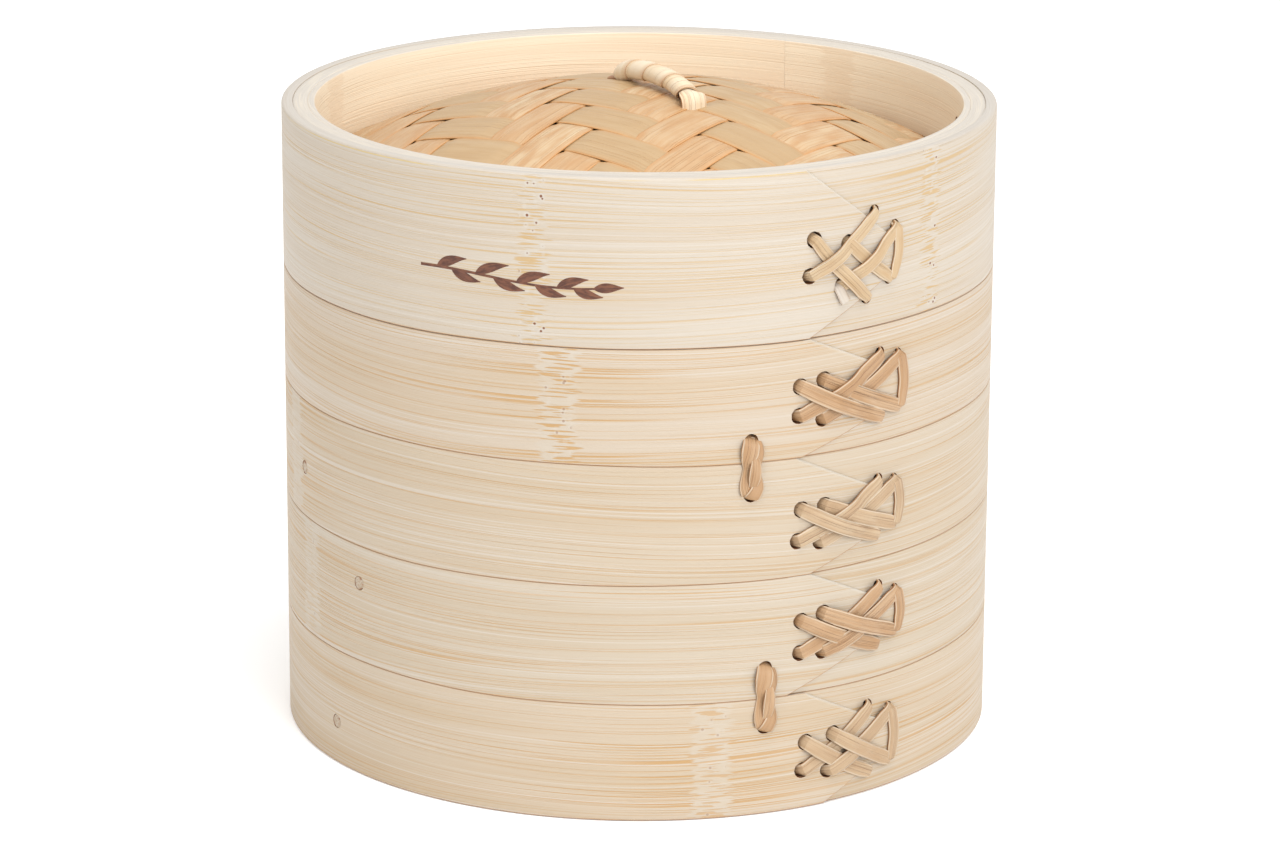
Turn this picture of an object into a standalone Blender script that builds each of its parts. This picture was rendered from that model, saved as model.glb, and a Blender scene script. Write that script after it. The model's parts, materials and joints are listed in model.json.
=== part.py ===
"""Two-tier bamboo steamer basket with a woven, domed lid.

Metres, +Z up. The origin is the centre of the bottom rim, which stands on z = 0. The front is -Y.
A position on a round wall is an angle in degrees, from the front towards +X, and a height. A position
in the lacings is an arc length along the outside of the hoop instead of the angle.
"""

from dataclasses import dataclass
from math import asin, atan2, cos, degrees, pi, radians, sin, sqrt

import bmesh
import bpy
from mathutils import Matrix, Vector

# Walls
OUTER_RADIUS = 0.0762
HOOP_THICKNESS = 0.0024
GAP = 0.0003
BAND_INNER_RADIUS = 0.0691
LIP_HEIGHT = 0.004
SKIRT_DEPTH = 0.0055
RIM_CHAMFER = 0.0006
WALL_SEGMENTS = 48

HOOP_INNER_RADIUS = OUTER_RADIUS - HOOP_THICKNESS
BAND_OUTER_RADIUS = HOOP_INNER_RADIUS - GAP

# Pegs
PEG_RADIUS = 0.0015
PEG_HEAD_RADIUS = OUTER_RADIUS - 0.0001
PEG_INNER_RADIUS = BAND_INNER_RADIUS - 0.0001
SLAT_PEG_INNER_RADIUS = 0.066
PEG_SIDES = 10

# Strips that lace and tie the hoops
HOLE_RADIUS = 0.0019
LEG_RADIUS = 0.0012
LEG_SIDES = 6
HOLE_SIDES = 8
LACE_WIDTH = 0.0034
LACE_THICKNESS = 0.0009
LACE_OVERHANG = 0.001
LACE_RECESS_DEPTH = 0.00115
TIE_WIDTH = 0.0038
TIE_THICKNESS = 0.0013

# Floors
SLAT_COUNT = 8
SLAT_PITCH = 0.016
SLAT_WIDTH = 0.011
SLAT_THICKNESS = 0.0046
LONG_SLAT_RADIUS = 0.0732
SHORT_SLAT_RADIUS = 0.0687
DOWEL_OFFSET = 0.024
DOWEL_RADIUS = 0.0012
DOWEL_HOLE_RADIUS = 0.0015
DOWEL_HALF_LENGTH = 0.063
DOWEL_SIDES = 6

# Lid, measured from the lid's own lower edge
LID_BASE = 0.10104
LID_HEIGHT = 0.03363
WEAVE_EDGE_HEIGHT = 0.01936
WEAVE_THICKNESS = 0.0012
WEAVE_RADIUS = 0.0732
LINER_THICKNESS = 0.0008
DOME_RADIUS = 0.0686
DOME_RISE = 0.0165
DOME_RINGS = 6
DOME_SEGMENTS = 32

# Handle, a closed loop through the dome
HANDLE_CENTRE = (0.0035, 0.002)
HANDLE_TURN = -57.5
HANDLE_HALF_SPAN = 0.015
HANDLE_RISE = 0.0042
HANDLE_PIVOT_HEIGHT = 0.03556
HANDLE_LOOP_DEPTH = 0.0047
HANDLE_LOOP_CORNER = 0.0018
CORE_RADIUS = 0.0013
WRAP_INNER_RADIUS = 0.0016
WRAP_OUTER_RADIUS = 0.00215
WRAP_START_ANGLE = 28.0
HANDLE_SIDES = 8
LEG_HOLE_RADIUS = 0.0023

# Eight lacing holes stand in four columns, from left to right. Each column is its arc length and the heights
# of its upper and lower hole over the lacing's middle.
REGULAR_COLUMNS = (
    (0.0344, 0.0029, -0.0037), (0.0398, 0.0035, -0.0045), (0.0547, 0.0066, -0.0061), (0.0596, 0.0052, -0.0045)
)
LONG_COLUMNS = (
    (0.0362, 0.0027, -0.0034), (0.0426, 0.0034, -0.0044), (0.0530, 0.0076, -0.0071), (0.0589, 0.0057, -0.0056)
)
LID_COLUMNS = (
    (0.0365, 0.0051, -0.0024), (0.0443, 0.0035, -0.0052), (0.0513, 0.0090, -0.0090), (0.0574, 0.0050, -0.0058)
)


@dataclass(frozen=True)
class Lacing:
    """Where a hoop's lacing lies: its four columns of holes and its middle height over the hoop's lower edge."""

    columns: tuple
    middle: float


@dataclass(frozen=True)
class Basket:
    """One tier. Heights are measured from the tier's own lower edge."""

    name: str
    base: float
    seam: float
    height: float
    bottom_lacing: Lacing
    top_lacing: Lacing
    bottom_peg_angle: float
    floor_height: float
    top_peg_angles: tuple
    top_peg_height: float
    tie_angle: float
    tie_low: float
    tie_high: float


BASKETS = (
    Basket(
        name="lower", base=0.0, seam=0.02503, height=0.05059,
        bottom_lacing=Lacing(LONG_COLUMNS, 0.0117), top_lacing=Lacing(REGULAR_COLUMNS, 0.0132),
        bottom_peg_angle=-56.5, floor_height=0.0092,
        top_peg_angles=(-49.7, 130.3), top_peg_height=0.0425,
        tie_angle=20.3, tie_low=0.0181, tie_high=0.0329,
    ),
    Basket(
        name="upper", base=0.05074, seam=0.02554, height=0.05015,
        bottom_lacing=Lacing(REGULAR_COLUMNS, 0.0113), top_lacing=Lacing(REGULAR_COLUMNS, 0.0121),
        bottom_peg_angle=-67.6, floor_height=0.0109,
        top_peg_angles=(95.0, -95.0), top_peg_height=0.0405,
        tie_angle=17.6, tie_low=0.0178, tie_high=0.0312,
    ),
)
LID_LACING = Lacing(LID_COLUMNS, 0.0156)
LID_PEG_ANGLES = (-88.0, 98.0)
LID_PEG_HEIGHTS = {"top": 0.0268, "bottom": 0.0104}

# Material name: (linear red, green, blue), roughness
FINISHES = {
    "hoop_bamboo": ((0.82, 0.66, 0.46), 0.55),
    "band_bamboo": ((0.83, 0.60, 0.36), 0.55),
    "slat_bamboo": ((0.78, 0.60, 0.38), 0.60),
    "lacing_strip": ((0.65, 0.38, 0.19), 0.50),
    "peg_bamboo": ((0.48, 0.31, 0.18), 0.65),
    "weave_strip": ((0.74, 0.49, 0.27), 0.50),
    "liner_strip": ((0.66, 0.43, 0.22), 0.60),
    "handle_strip": ((0.83, 0.64, 0.39), 0.45),
}


def remove_objects():
    for obj in list(bpy.data.objects):
        bpy.data.objects.remove(obj)


def make_materials():
    materials = {}
    for name, (colour, roughness) in FINISHES.items():
        material = bpy.data.materials.new(name)
        material.use_nodes = True
        shader = material.node_tree.nodes["Principled BSDF"]
        shader.inputs["Base Color"].default_value = (*colour, 1.0)
        shader.inputs["Roughness"].default_value = roughness
        shader.inputs["Metallic"].default_value = 0.0
        materials[name] = material
    return materials


def add_frame(name, location, parent=None):
    """An empty on which a moving part of the steamer is built."""
    frame = bpy.data.objects.new(name, None)
    frame.location = location
    frame.parent = parent
    bpy.context.scene.collection.objects.link(frame)
    return frame


def add_object(name, bm, parent, material=None):
    bm.normal_update()
    bmesh.ops.recalc_face_normals(bm, faces=bm.faces)
    mesh = bpy.data.meshes.new(name)
    bm.to_mesh(mesh)
    bm.free()
    mesh.shade_smooth()
    mesh.set_sharp_from_angle(angle=radians(35))
    obj = bpy.data.objects.new(name, mesh)
    obj.parent = parent
    bpy.context.scene.collection.objects.link(obj)
    if material:
        mesh.materials.append(material)
    return obj


def apply_boolean(obj, operation, name, bm):
    """Cut a tool mesh from an object, or join it on. The tool is a hidden guide in the object's own frame."""
    tool = add_object(name, bm, obj.parent)
    tool.hide_render = True
    tool.display_type = "WIRE"
    modifier = obj.modifiers.new(name, "BOOLEAN")
    modifier.operation = operation
    modifier.object = tool


def polar(radius, angle, height):
    return Vector((radius * sin(radians(angle)), -radius * cos(radians(angle)), height))


def arc_angle(arc):
    """Angle of a point at an arc length along the outside of a hoop."""
    return degrees(arc / OUTER_RADIUS)


def lathe(profile, segments, closed=True):
    """Turn a (radius, height) outline once round Z. An open outline starts and ends on the axis."""
    bm = bmesh.new()
    verts = [bm.verts.new((radius, 0.0, height)) for radius, height in profile]
    pairs = zip(verts, verts[1:] + verts[:1]) if closed else zip(verts, verts[1:])
    edges = [bm.edges.new(pair) for pair in pairs]
    bmesh.ops.spin(
        bm, geom=verts + edges, cent=(0, 0, 0), axis=(0, 0, 1), angle=2 * pi, steps=segments, use_merge=True
    )
    bmesh.ops.remove_doubles(bm, verts=bm.verts, dist=1e-7)
    return bm


def wall(inner, outer, low, high, chamfer=0.0):
    profile = [(inner, low), (outer, low), (outer, high - chamfer), (outer - chamfer, high), (inner, high)]
    if not chamfer:
        profile.pop(3)
    return lathe(profile, WALL_SEGMENTS)


def add_rod(bm, start, end, radius, sides):
    run = end - start
    turn = run.to_track_quat("Z", "Y").to_matrix().to_4x4()
    bmesh.ops.create_cone(
        bm, cap_ends=True, segments=sides, radius1=radius, radius2=radius, depth=run.length,
        matrix=Matrix.Translation((start + end) / 2) @ turn,
    )


def add_radial_rod(bm, angle, height, inner, outer, radius, sides):
    add_rod(bm, polar(inner, angle, height), polar(outer, angle, height), radius, sides)


def bridge(bm, near, far):
    """The band of quads between two rings of as many vertices."""
    count = len(near)
    return [
        bm.faces.new((near[k], near[(k + 1) % count], far[(k + 1) % count], far[k])) for k in range(count)
    ]


def add_strip(bm, start, end, width, inner, outer, overhang=0.0):
    """A flat strip bent round the hoops between two (arc length, height) points."""
    start, end = Vector(start), Vector(end)
    along = (end - start).normalized()
    start, end = start - along * overhang, end + along * overhang
    side = Vector((-along.y, along.x)) * width / 2
    steps = 3
    rows = []
    for step in range(steps + 1):
        middle = start.lerp(end, step / steps)
        corners = ((middle + side, inner), (middle + side, outer), (middle - side, outer), (middle - side, inner))
        rows.append([bm.verts.new(polar(radius, arc_angle(point.x), point.y)) for point, radius in corners])
    faces = [bm.faces.new(rows[0][::-1]), bm.faces.new(rows[-1])]
    for near, far in zip(rows, rows[1:]):
        faces += bridge(bm, near, far)
    bmesh.ops.triangulate(bm, faces=faces)


def lacing_holes(lacing, base):
    """The holes as (arc length, height): each column's upper and lower hole, from left to right."""
    middle = base + lacing.middle
    return [((arc, middle + upper), (arc, middle + lower)) for arc, upper, lower in lacing.columns]


def add_hoop(name, base, height, lacing, rods, material, parent, chamfer=0.0):
    """A hoop with its lacing holes, a recess behind them for the lacing's inner runs, and its peg and tie holes."""
    hoop = add_object(name, wall(HOOP_INNER_RADIUS, OUTER_RADIUS, base, height, chamfer), parent, material)

    columns = lacing_holes(lacing, base)
    margin = HOLE_RADIUS + LACE_OVERHANG
    reach = LEG_RADIUS + LACE_OVERHANG
    top = max(upper for _, upper, _ in lacing.columns) + reach
    bottom = min(lower for _, _, lower in lacing.columns) - reach
    middle = base + lacing.middle + (top + bottom) / 2
    recess = bmesh.new()
    add_strip(
        recess, (columns[0][0][0] - margin, middle), (columns[-1][0][0] + margin, middle), top - bottom,
        HOOP_INNER_RADIUS - 2 * GAP, HOOP_INNER_RADIUS + LACE_RECESS_DEPTH,
    )
    apply_boolean(hoop, "DIFFERENCE", name + "_recess_cut", recess)

    holes = bmesh.new()
    for column in columns:
        for arc, hole_height in column:
            add_radial_rod(
                holes, arc_angle(arc), hole_height, HOOP_INNER_RADIUS - GAP, OUTER_RADIUS + 2 * GAP,
                HOLE_RADIUS, HOLE_SIDES,
            )
    for angle, hole_height, radius in rods:
        add_radial_rod(
            holes, angle, hole_height, HOOP_INNER_RADIUS - 2 * GAP, OUTER_RADIUS + 2 * GAP, radius, HOLE_SIDES
        )
    apply_boolean(hoop, "DIFFERENCE", name + "_hole_cut", holes)


def add_lacing(name, base, lacing, material, parent):
    """Four crossing strands and a closing one outside the hoop, legs through its holes, short runs inside."""
    (a, c), (b, d), (e, g), (f, h) = lacing_holes(lacing, base)
    surface = OUTER_RADIUS + GAP
    level = LACE_THICKNESS / 2
    strands = (
        ("rising_1", c, e, 0.0),
        ("rising_2", d, f, 0.2),
        ("falling_1", a, g, 0.9),
        ("falling_2", b, h, 1.1),
        ("closing", f, h, 0.5),
    )
    pieces = []
    for label, start, end, layer in strands:
        bm = bmesh.new()
        inner = surface + level * layer
        add_strip(bm, start, end, LACE_WIDTH, inner, inner + LACE_THICKNESS, LACE_OVERHANG)
        pieces.append((label, bm))

    legs = bmesh.new()
    inner_runs = bmesh.new()
    inside = HOOP_INNER_RADIUS + GAP
    for top, bottom in ((a, c), (b, d), (e, g), (f, h)):
        for arc, height in (top, bottom):
            add_radial_rod(
                legs, arc_angle(arc), height, inside + level / 2, surface + 1.5 * level, LEG_RADIUS, LEG_SIDES
            )
        add_strip(inner_runs, bottom, top, 2.5 * LEG_RADIUS, inside, inside + level, LACE_OVERHANG / 2)

    pieces += [("legs", legs), ("inner_runs", inner_runs)]
    lace = add_object(name, pieces[0][1], parent, material)
    for label, bm in pieces[1:]:
        apply_boolean(lace, "UNION", f"{name}_{label}", bm)


def add_tie(name, basket, angle, material, parent):
    """A strap over the seam outside, one inside the band, and a leg through the wall at either end."""
    arc = radians(angle) * OUTER_RADIUS
    low, high = (arc, basket.tie_low), (arc, basket.tie_high)
    outside = OUTER_RADIUS + GAP
    inside = BAND_INNER_RADIUS - 2 * GAP
    strap = bmesh.new()
    add_strip(strap, low, high, TIE_WIDTH, outside, outside + TIE_THICKNESS, LACE_OVERHANG)
    legs = bmesh.new()
    for _, height in (low, high):
        add_radial_rod(
            legs, angle, height, inside - TIE_THICKNESS / 2, outside + TIE_THICKNESS / 2, LEG_RADIUS, LEG_SIDES
        )
    inner_strap = bmesh.new()
    add_strip(inner_strap, low, high, TIE_WIDTH, inside - TIE_THICKNESS, inside, LACE_OVERHANG)
    tie = add_object(name, strap, parent, material)
    apply_boolean(tie, "UNION", name + "_legs", legs)
    apply_boolean(tie, "UNION", name + "_inside", inner_strap)


def add_peg(name, angle, height, inner, material, parent):
    bm = bmesh.new()
    add_radial_rod(bm, angle, height, inner, PEG_HEAD_RADIUS, PEG_RADIUS, PEG_SIDES)
    add_object(name, bm, parent, material)


def slat_outline(offset, radius):
    """A slat's outline between two parallel sides, with ends that follow the round wall."""
    sides = (offset - SLAT_WIDTH / 2, offset, offset + SLAT_WIDTH / 2)
    right = [(sqrt(radius**2 - y**2), y) for y in sides]
    return right + [(-x, y) for x, y in reversed(right)]


def add_floor(basket, materials, parent):
    """Parallel slats strung on two dowels. The two middle slats reach through notches in the band."""
    reach = asin(SLAT_PITCH / 2 / (BAND_INNER_RADIUS + GAP))
    turn = radians(basket.bottom_peg_angle - 90) - reach
    floor = add_frame(f"{basket.name}_floor", (0, 0, basket.floor_height), parent)
    floor.rotation_euler.z = turn

    for index in range(SLAT_COUNT):
        offset = (index - (SLAT_COUNT - 1) / 2) * SLAT_PITCH
        is_long = abs(offset) < SLAT_PITCH
        bm = bmesh.new()
        outline = slat_outline(offset, LONG_SLAT_RADIUS if is_long else SHORT_SLAT_RADIUS)
        face = bm.faces.new([bm.verts.new((x, y, -SLAT_THICKNESS / 2)) for x, y in outline])
        raised = bmesh.ops.extrude_face_region(bm, geom=[face])["geom"]
        raised_verts = [item for item in raised if isinstance(item, bmesh.types.BMVert)]
        bmesh.ops.translate(bm, verts=raised_verts, vec=(0, 0, SLAT_THICKNESS))
        slat = add_object(f"{basket.name}_slat_{index + 1}", bm, floor, materials["slat_bamboo"])

        holes = bmesh.new()
        for x in (-DOWEL_OFFSET, DOWEL_OFFSET):
            start = Vector((x, offset - SLAT_WIDTH, 0))
            end = Vector((x, offset + SLAT_WIDTH, 0))
            add_rod(holes, start, end, DOWEL_HOLE_RADIUS, DOWEL_SIDES)
        if is_long:
            side = 1 if offset > 0 else -1
            at_peg = atan2(offset, sqrt((BAND_INNER_RADIUS + GAP) ** 2 - offset**2))
            direction = Vector((side * cos(abs(at_peg)), side * sin(abs(at_peg)), 0))
            add_rod(
                holes, direction * (SLAT_PEG_INNER_RADIUS - GAP), direction * OUTER_RADIUS,
                PEG_RADIUS + GAP, HOLE_SIDES,
            )
        apply_boolean(slat, "DIFFERENCE", f"{slat.name}_hole_cut", holes)

    for number, x in enumerate((-DOWEL_OFFSET, DOWEL_OFFSET), start=1):
        bm = bmesh.new()
        add_rod(
            bm, Vector((x, -DOWEL_HALF_LENGTH, 0)), Vector((x, DOWEL_HALF_LENGTH, 0)), DOWEL_RADIUS, DOWEL_SIDES
        )
        add_object(f"{basket.name}_dowel_{number}", bm, floor, materials["slat_bamboo"])

    notches = bmesh.new()
    for y in (-SLAT_PITCH / 2, SLAT_PITCH / 2):
        bottom, top = -basket.floor_height, SLAT_THICKNESS / 2 + GAP
        size = (3 * OUTER_RADIUS, SLAT_WIDTH + 2 * GAP, top - bottom)
        bmesh.ops.create_cube(
            notches, size=1.0, matrix=Matrix.LocRotScale((0, y, (top + bottom) / 2), None, size)
        )
    notches.transform(Matrix.Translation(floor.location) @ Matrix.Rotation(turn, 4, "Z"))
    return notches


def add_basket(basket, materials):
    frame = add_frame(f"{basket.name}_basket", (0, 0, basket.base))
    tie_angles = {"front": basket.tie_angle, "back": basket.tie_angle + 180}
    bottom_peg_angles = {"front": basket.bottom_peg_angle, "back": basket.bottom_peg_angle + 180}
    top_peg_angles = dict(zip(("front", "back"), basket.top_peg_angles))
    peg_hole = PEG_RADIUS + GAP
    hoop_material = materials["hoop_bamboo"]

    bottom_rods = [(angle, basket.floor_height, peg_hole) for angle in bottom_peg_angles.values()]
    bottom_rods += [(angle, basket.tie_low, HOLE_RADIUS) for angle in tie_angles.values()]
    bottom = GAP / 2 if basket.base else 0.0
    add_hoop(
        f"{basket.name}_bottom_hoop", bottom, basket.seam - GAP / 2, basket.bottom_lacing,
        bottom_rods, hoop_material, frame,
    )
    top_rods = [(angle, basket.top_peg_height, peg_hole) for angle in top_peg_angles.values()]
    top_rods += [(angle, basket.tie_high, HOLE_RADIUS) for angle in tie_angles.values()]
    add_hoop(
        f"{basket.name}_top_hoop", basket.seam + GAP / 2, basket.height, basket.top_lacing,
        top_rods, hoop_material, frame,
    )
    lacings = (("bottom", bottom, basket.bottom_lacing), ("top", basket.seam + GAP / 2, basket.top_lacing))
    for label, base, lacing in lacings:
        add_lacing(f"{basket.name}_{label}_lacing", base, lacing, materials["lacing_strip"], frame)

    band_shape = wall(BAND_INNER_RADIUS, BAND_OUTER_RADIUS, SKIRT_DEPTH, basket.height + LIP_HEIGHT)
    band = add_object(f"{basket.name}_inner_band", band_shape, frame, materials["band_bamboo"])
    notches = add_floor(basket, materials, frame)
    apply_boolean(band, "DIFFERENCE", band.name + "_notch_cut", notches)
    band_holes = bmesh.new()
    band_rods = [(angle, basket.top_peg_height, peg_hole) for angle in top_peg_angles.values()]
    band_rods += [(angle, height, HOLE_RADIUS) for angle in tie_angles.values()
                  for height in (basket.tie_low, basket.tie_high)]
    for angle, height, radius in band_rods:
        add_radial_rod(
            band_holes, angle, height, BAND_INNER_RADIUS - 2 * GAP, BAND_OUTER_RADIUS + GAP, radius, HOLE_SIDES
        )
    apply_boolean(band, "DIFFERENCE", band.name + "_hole_cut", band_holes)

    for side, angle in tie_angles.items():
        add_tie(f"{basket.name}_{side}_tie", basket, angle, materials["lacing_strip"], frame)
    for side in ("front", "back"):
        add_peg(
            f"{basket.name}_bottom_peg_{side}", bottom_peg_angles[side], basket.floor_height,
            SLAT_PEG_INNER_RADIUS, materials["peg_bamboo"], frame,
        )
        add_peg(
            f"{basket.name}_top_peg_{side}", top_peg_angles[side], basket.top_peg_height,
            PEG_INNER_RADIUS, materials["peg_bamboo"], frame,
        )
    return frame


def dome_height(radius):
    """Height of the domed weave's upper face over its flat edge: a spherical cap."""
    sphere = (DOME_RADIUS**2 + DOME_RISE**2) / (2 * DOME_RISE)
    return DOME_RISE - (sphere - sqrt(sphere**2 - radius**2))


def dome(top, thickness):
    """A domed sheet with a flat edge, whose upper face has its edge at the given height."""
    radii = [DOME_RADIUS * ring / DOME_RINGS for ring in range(DOME_RINGS + 1)]
    upper = [(radius, top + dome_height(radius)) for radius in radii] + [(WEAVE_RADIUS, top)]
    lower = [(radius, height - thickness) for radius, height in reversed(upper)]
    return lathe(upper + lower, DOME_SEGMENTS, closed=False)


def planar_tube_rings(bm, path, radius, closed):
    """Rings of vertices round a path in the XZ plane."""
    rings = []
    for index, point in enumerate(path):
        before = path[index - 1] if closed or index else point
        after = path[(index + 1) % len(path)] if closed or index + 1 < len(path) else point
        along = (after - before).normalized()
        normal = Vector((-along.z, 0.0, along.x))
        angles = [2 * pi * side / HANDLE_SIDES for side in range(HANDLE_SIDES)]
        rings.append([
            bm.verts.new(point + radius * (cos(angle) * normal + sin(angle) * Vector((0, 1, 0))))
            for angle in angles
        ])
    return rings


def arch_point(angle):
    """A point of the handle's arch, a half ellipse, at an angle in degrees from one foot to the other."""
    return Vector((-HANDLE_HALF_SPAN * cos(radians(angle)), 0.0, HANDLE_RISE * sin(radians(angle))))


def handle_core():
    """The closed loop: the arch, a leg down through the dome at either foot, and a run beneath it."""
    path = [arch_point(180 * step / 12) for step in range(13)]
    corner_x = HANDLE_HALF_SPAN - HANDLE_LOOP_CORNER
    corner_z = HANDLE_LOOP_CORNER - HANDLE_LOOP_DEPTH
    corner = [
        (corner_x + HANDLE_LOOP_CORNER * cos(radians(angle)), corner_z - HANDLE_LOOP_CORNER * sin(radians(angle)))
        for angle in (0, 45, 90)
    ]
    path += [Vector((x, 0.0, z)) for x, z in corner]
    path += [Vector((-x, 0.0, z)) for x, z in reversed(corner)]
    bm = bmesh.new()
    rings = planar_tube_rings(bm, path, CORE_RADIUS, closed=True)
    for near, far in zip(rings, rings[1:] + rings[:1]):
        bridge(bm, near, far)
    return bm


def handle_wrap():
    """The sleeve that the wound strip makes round the arch."""
    steps = 10
    span = 180 - 2 * WRAP_START_ANGLE
    path = [arch_point(WRAP_START_ANGLE + span * step / steps) for step in range(steps + 1)]
    bm = bmesh.new()
    outer = planar_tube_rings(bm, path, WRAP_OUTER_RADIUS, closed=False)
    inner = planar_tube_rings(bm, path, WRAP_INNER_RADIUS, closed=False)
    for rings in (outer, inner):
        for near, far in zip(rings, rings[1:]):
            bridge(bm, near, far)
    bridge(bm, outer[0], inner[0])
    bridge(bm, outer[-1], inner[-1])
    return bm


def add_dome_sheet(name, bm, material, parent):
    """A domed sheet with a hole for each leg of the handle."""
    sheet = add_object(name, bm, parent, material)
    holes = bmesh.new()
    for side in (-1, 1):
        foot = Vector((side * HANDLE_HALF_SPAN, 0.0, 0.0))
        foot.rotate(Matrix.Rotation(radians(HANDLE_TURN), 3, "Z"))
        foot += Vector((*HANDLE_CENTRE, WEAVE_EDGE_HEIGHT))
        add_rod(holes, foot, foot + Vector((0, 0, 2 * DOME_RISE)), LEG_HOLE_RADIUS, PEG_SIDES)
    apply_boolean(sheet, "DIFFERENCE", name + "_leg_cut", holes)


def add_lid(materials, parent):
    frame = add_frame("lid_lift", (0, 0, LID_BASE - parent.location.z), parent)
    peg_hole = PEG_RADIUS + GAP
    rods = [(angle, height, peg_hole) for angle in LID_PEG_ANGLES for height in LID_PEG_HEIGHTS.values()]
    add_hoop("lid_hoop", GAP / 2, LID_HEIGHT, LID_LACING, rods, materials["hoop_bamboo"], frame, RIM_CHAMFER)
    add_lacing("lid_lacing", GAP / 2, LID_LACING, materials["lacing_strip"], frame)

    liner_top = WEAVE_EDGE_HEIGHT - WEAVE_THICKNESS - GAP
    bands = {
        "top": (WEAVE_EDGE_HEIGHT + GAP, LID_HEIGHT),
        "bottom": (SKIRT_DEPTH, liner_top - LINER_THICKNESS - GAP),
    }
    for label, (low, high) in bands.items():
        band_shape = wall(BAND_INNER_RADIUS, BAND_OUTER_RADIUS, low, high)
        band = add_object(f"lid_{label}_band", band_shape, frame, materials["band_bamboo"])
        holes = bmesh.new()
        for angle in LID_PEG_ANGLES:
            add_radial_rod(
                holes, angle, LID_PEG_HEIGHTS[label], BAND_INNER_RADIUS - 2 * GAP, BAND_OUTER_RADIUS + GAP,
                peg_hole, HOLE_SIDES,
            )
        apply_boolean(band, "DIFFERENCE", band.name + "_peg_cut", holes)
        for side, angle in zip(("left", "right"), LID_PEG_ANGLES):
            add_peg(
                f"lid_{label}_peg_{side}", angle, LID_PEG_HEIGHTS[label],
                PEG_INNER_RADIUS, materials["peg_bamboo"], frame,
            )

    add_dome_sheet("lid_weave", dome(WEAVE_EDGE_HEIGHT, WEAVE_THICKNESS), materials["weave_strip"], frame)
    add_dome_sheet("lid_liner", dome(liner_top, LINER_THICKNESS), materials["liner_strip"], frame)

    tilt = add_frame("handle_tilt", (*HANDLE_CENTRE, HANDLE_PIVOT_HEIGHT), frame)
    tilt.rotation_euler.z = radians(HANDLE_TURN)
    add_object("handle_core", handle_core(), tilt, materials["handle_strip"])
    add_object("handle_wrap", handle_wrap(), tilt, materials["handle_strip"])


def main():
    remove_objects()
    materials = make_materials()
    lower, upper = BASKETS
    add_basket(lower, materials)
    upper_frame = add_basket(upper, materials)
    add_lid(materials, upper_frame)


main()
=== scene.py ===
"""Looks of a two-tier bamboo steamer: laced hoops, bands, slatted floors, a woven dome and a wound handle.

Lengths are in millimetres here, and MM turns them into the frame's metres. An angle is in degrees from
the front (-Y) towards +X. An arc is a length along the outside of a hoop, with the same zero and direction.
"""

import json
import random
from dataclasses import dataclass
from math import atan2, ceil, cos, degrees, hypot, pi, radians, sin, sqrt

import bmesh
import bpy
from mathutils import Matrix, Vector


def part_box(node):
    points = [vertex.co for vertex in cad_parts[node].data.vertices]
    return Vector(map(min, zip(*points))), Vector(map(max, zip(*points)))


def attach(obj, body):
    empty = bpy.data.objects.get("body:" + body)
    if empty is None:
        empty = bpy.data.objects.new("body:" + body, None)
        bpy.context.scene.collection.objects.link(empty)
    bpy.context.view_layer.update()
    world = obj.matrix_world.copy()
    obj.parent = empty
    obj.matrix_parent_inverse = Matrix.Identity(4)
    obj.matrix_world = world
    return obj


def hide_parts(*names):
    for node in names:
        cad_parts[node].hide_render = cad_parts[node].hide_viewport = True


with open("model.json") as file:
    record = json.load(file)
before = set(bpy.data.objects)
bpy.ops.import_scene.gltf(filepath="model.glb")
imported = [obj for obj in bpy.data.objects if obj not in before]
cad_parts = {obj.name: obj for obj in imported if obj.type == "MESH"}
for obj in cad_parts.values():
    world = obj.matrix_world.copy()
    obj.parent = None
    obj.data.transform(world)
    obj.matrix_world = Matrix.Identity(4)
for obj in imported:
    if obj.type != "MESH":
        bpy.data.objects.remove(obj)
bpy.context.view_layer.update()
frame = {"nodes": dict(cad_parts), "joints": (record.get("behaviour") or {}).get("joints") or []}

MM = 0.001


def node_box(node):
    """A CAD node's lowest and highest corner in millimetres."""
    low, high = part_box(node)
    return low / MM, high / MM


def node_place(node):
    """The angle and height of a CAD node's middle."""
    low, high = node_box(node)
    middle = (low + high) / 2
    return degrees(atan2(middle.x, -middle.y)), middle.z


# Walls. The fibres of a strip's inner face are taken from an offset beyond its outer face's. The lid's band
# rises less towards the front than its hoop, by the step.
OUTER = node_box("lid_bottom_band")[1].x + 2.7
HOOP_INNER = 73.8
BAND_OUTER = 73.78
BAND_INNER = 69.1
BAND_SPLIT = 70.6
AROUND = 2 * pi * OUTER
LAP_LENGTH = 80.0
FLAP_THICKNESS = 0.6
LAP_GAP = 0.012
INNER_FACE_OFFSET = 400.0
SEAM = 0.012
LID_SEAM = 0.1
LID_BAND_STEP = 0.4
HOOP_WALL = (HOOP_INNER - 1, OUTER + 1)
BAND_WALL = (BAND_INNER - 2, BAND_OUTER + 2)

# Radii of pegs and of holes
PEG_RADIUS = 1.5
PEG_HOLE = 1.52
BAND_PEG_HOLE = 1.62
LEFT_HOLE = 1.75
RIGHT_HOLE = 1.3
TIE_HOLE = 1.55

# Lacing. A strand's middle rests so high over the hoop, and rides a step higher over another strand. It goes
# past the middle of the hole at its left or right end.
LACE_WIDTH = 3.35
LID_LACE_WIDTH = 2.9
LACE_THICKNESS = 0.6
LACE_REST = 0.36
LACE_STEP = 0.86
LEFT_PAST = 1.0
RIGHT_PAST = 1.3

# Floors
SLAT_WIDTH = 11.0

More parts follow.
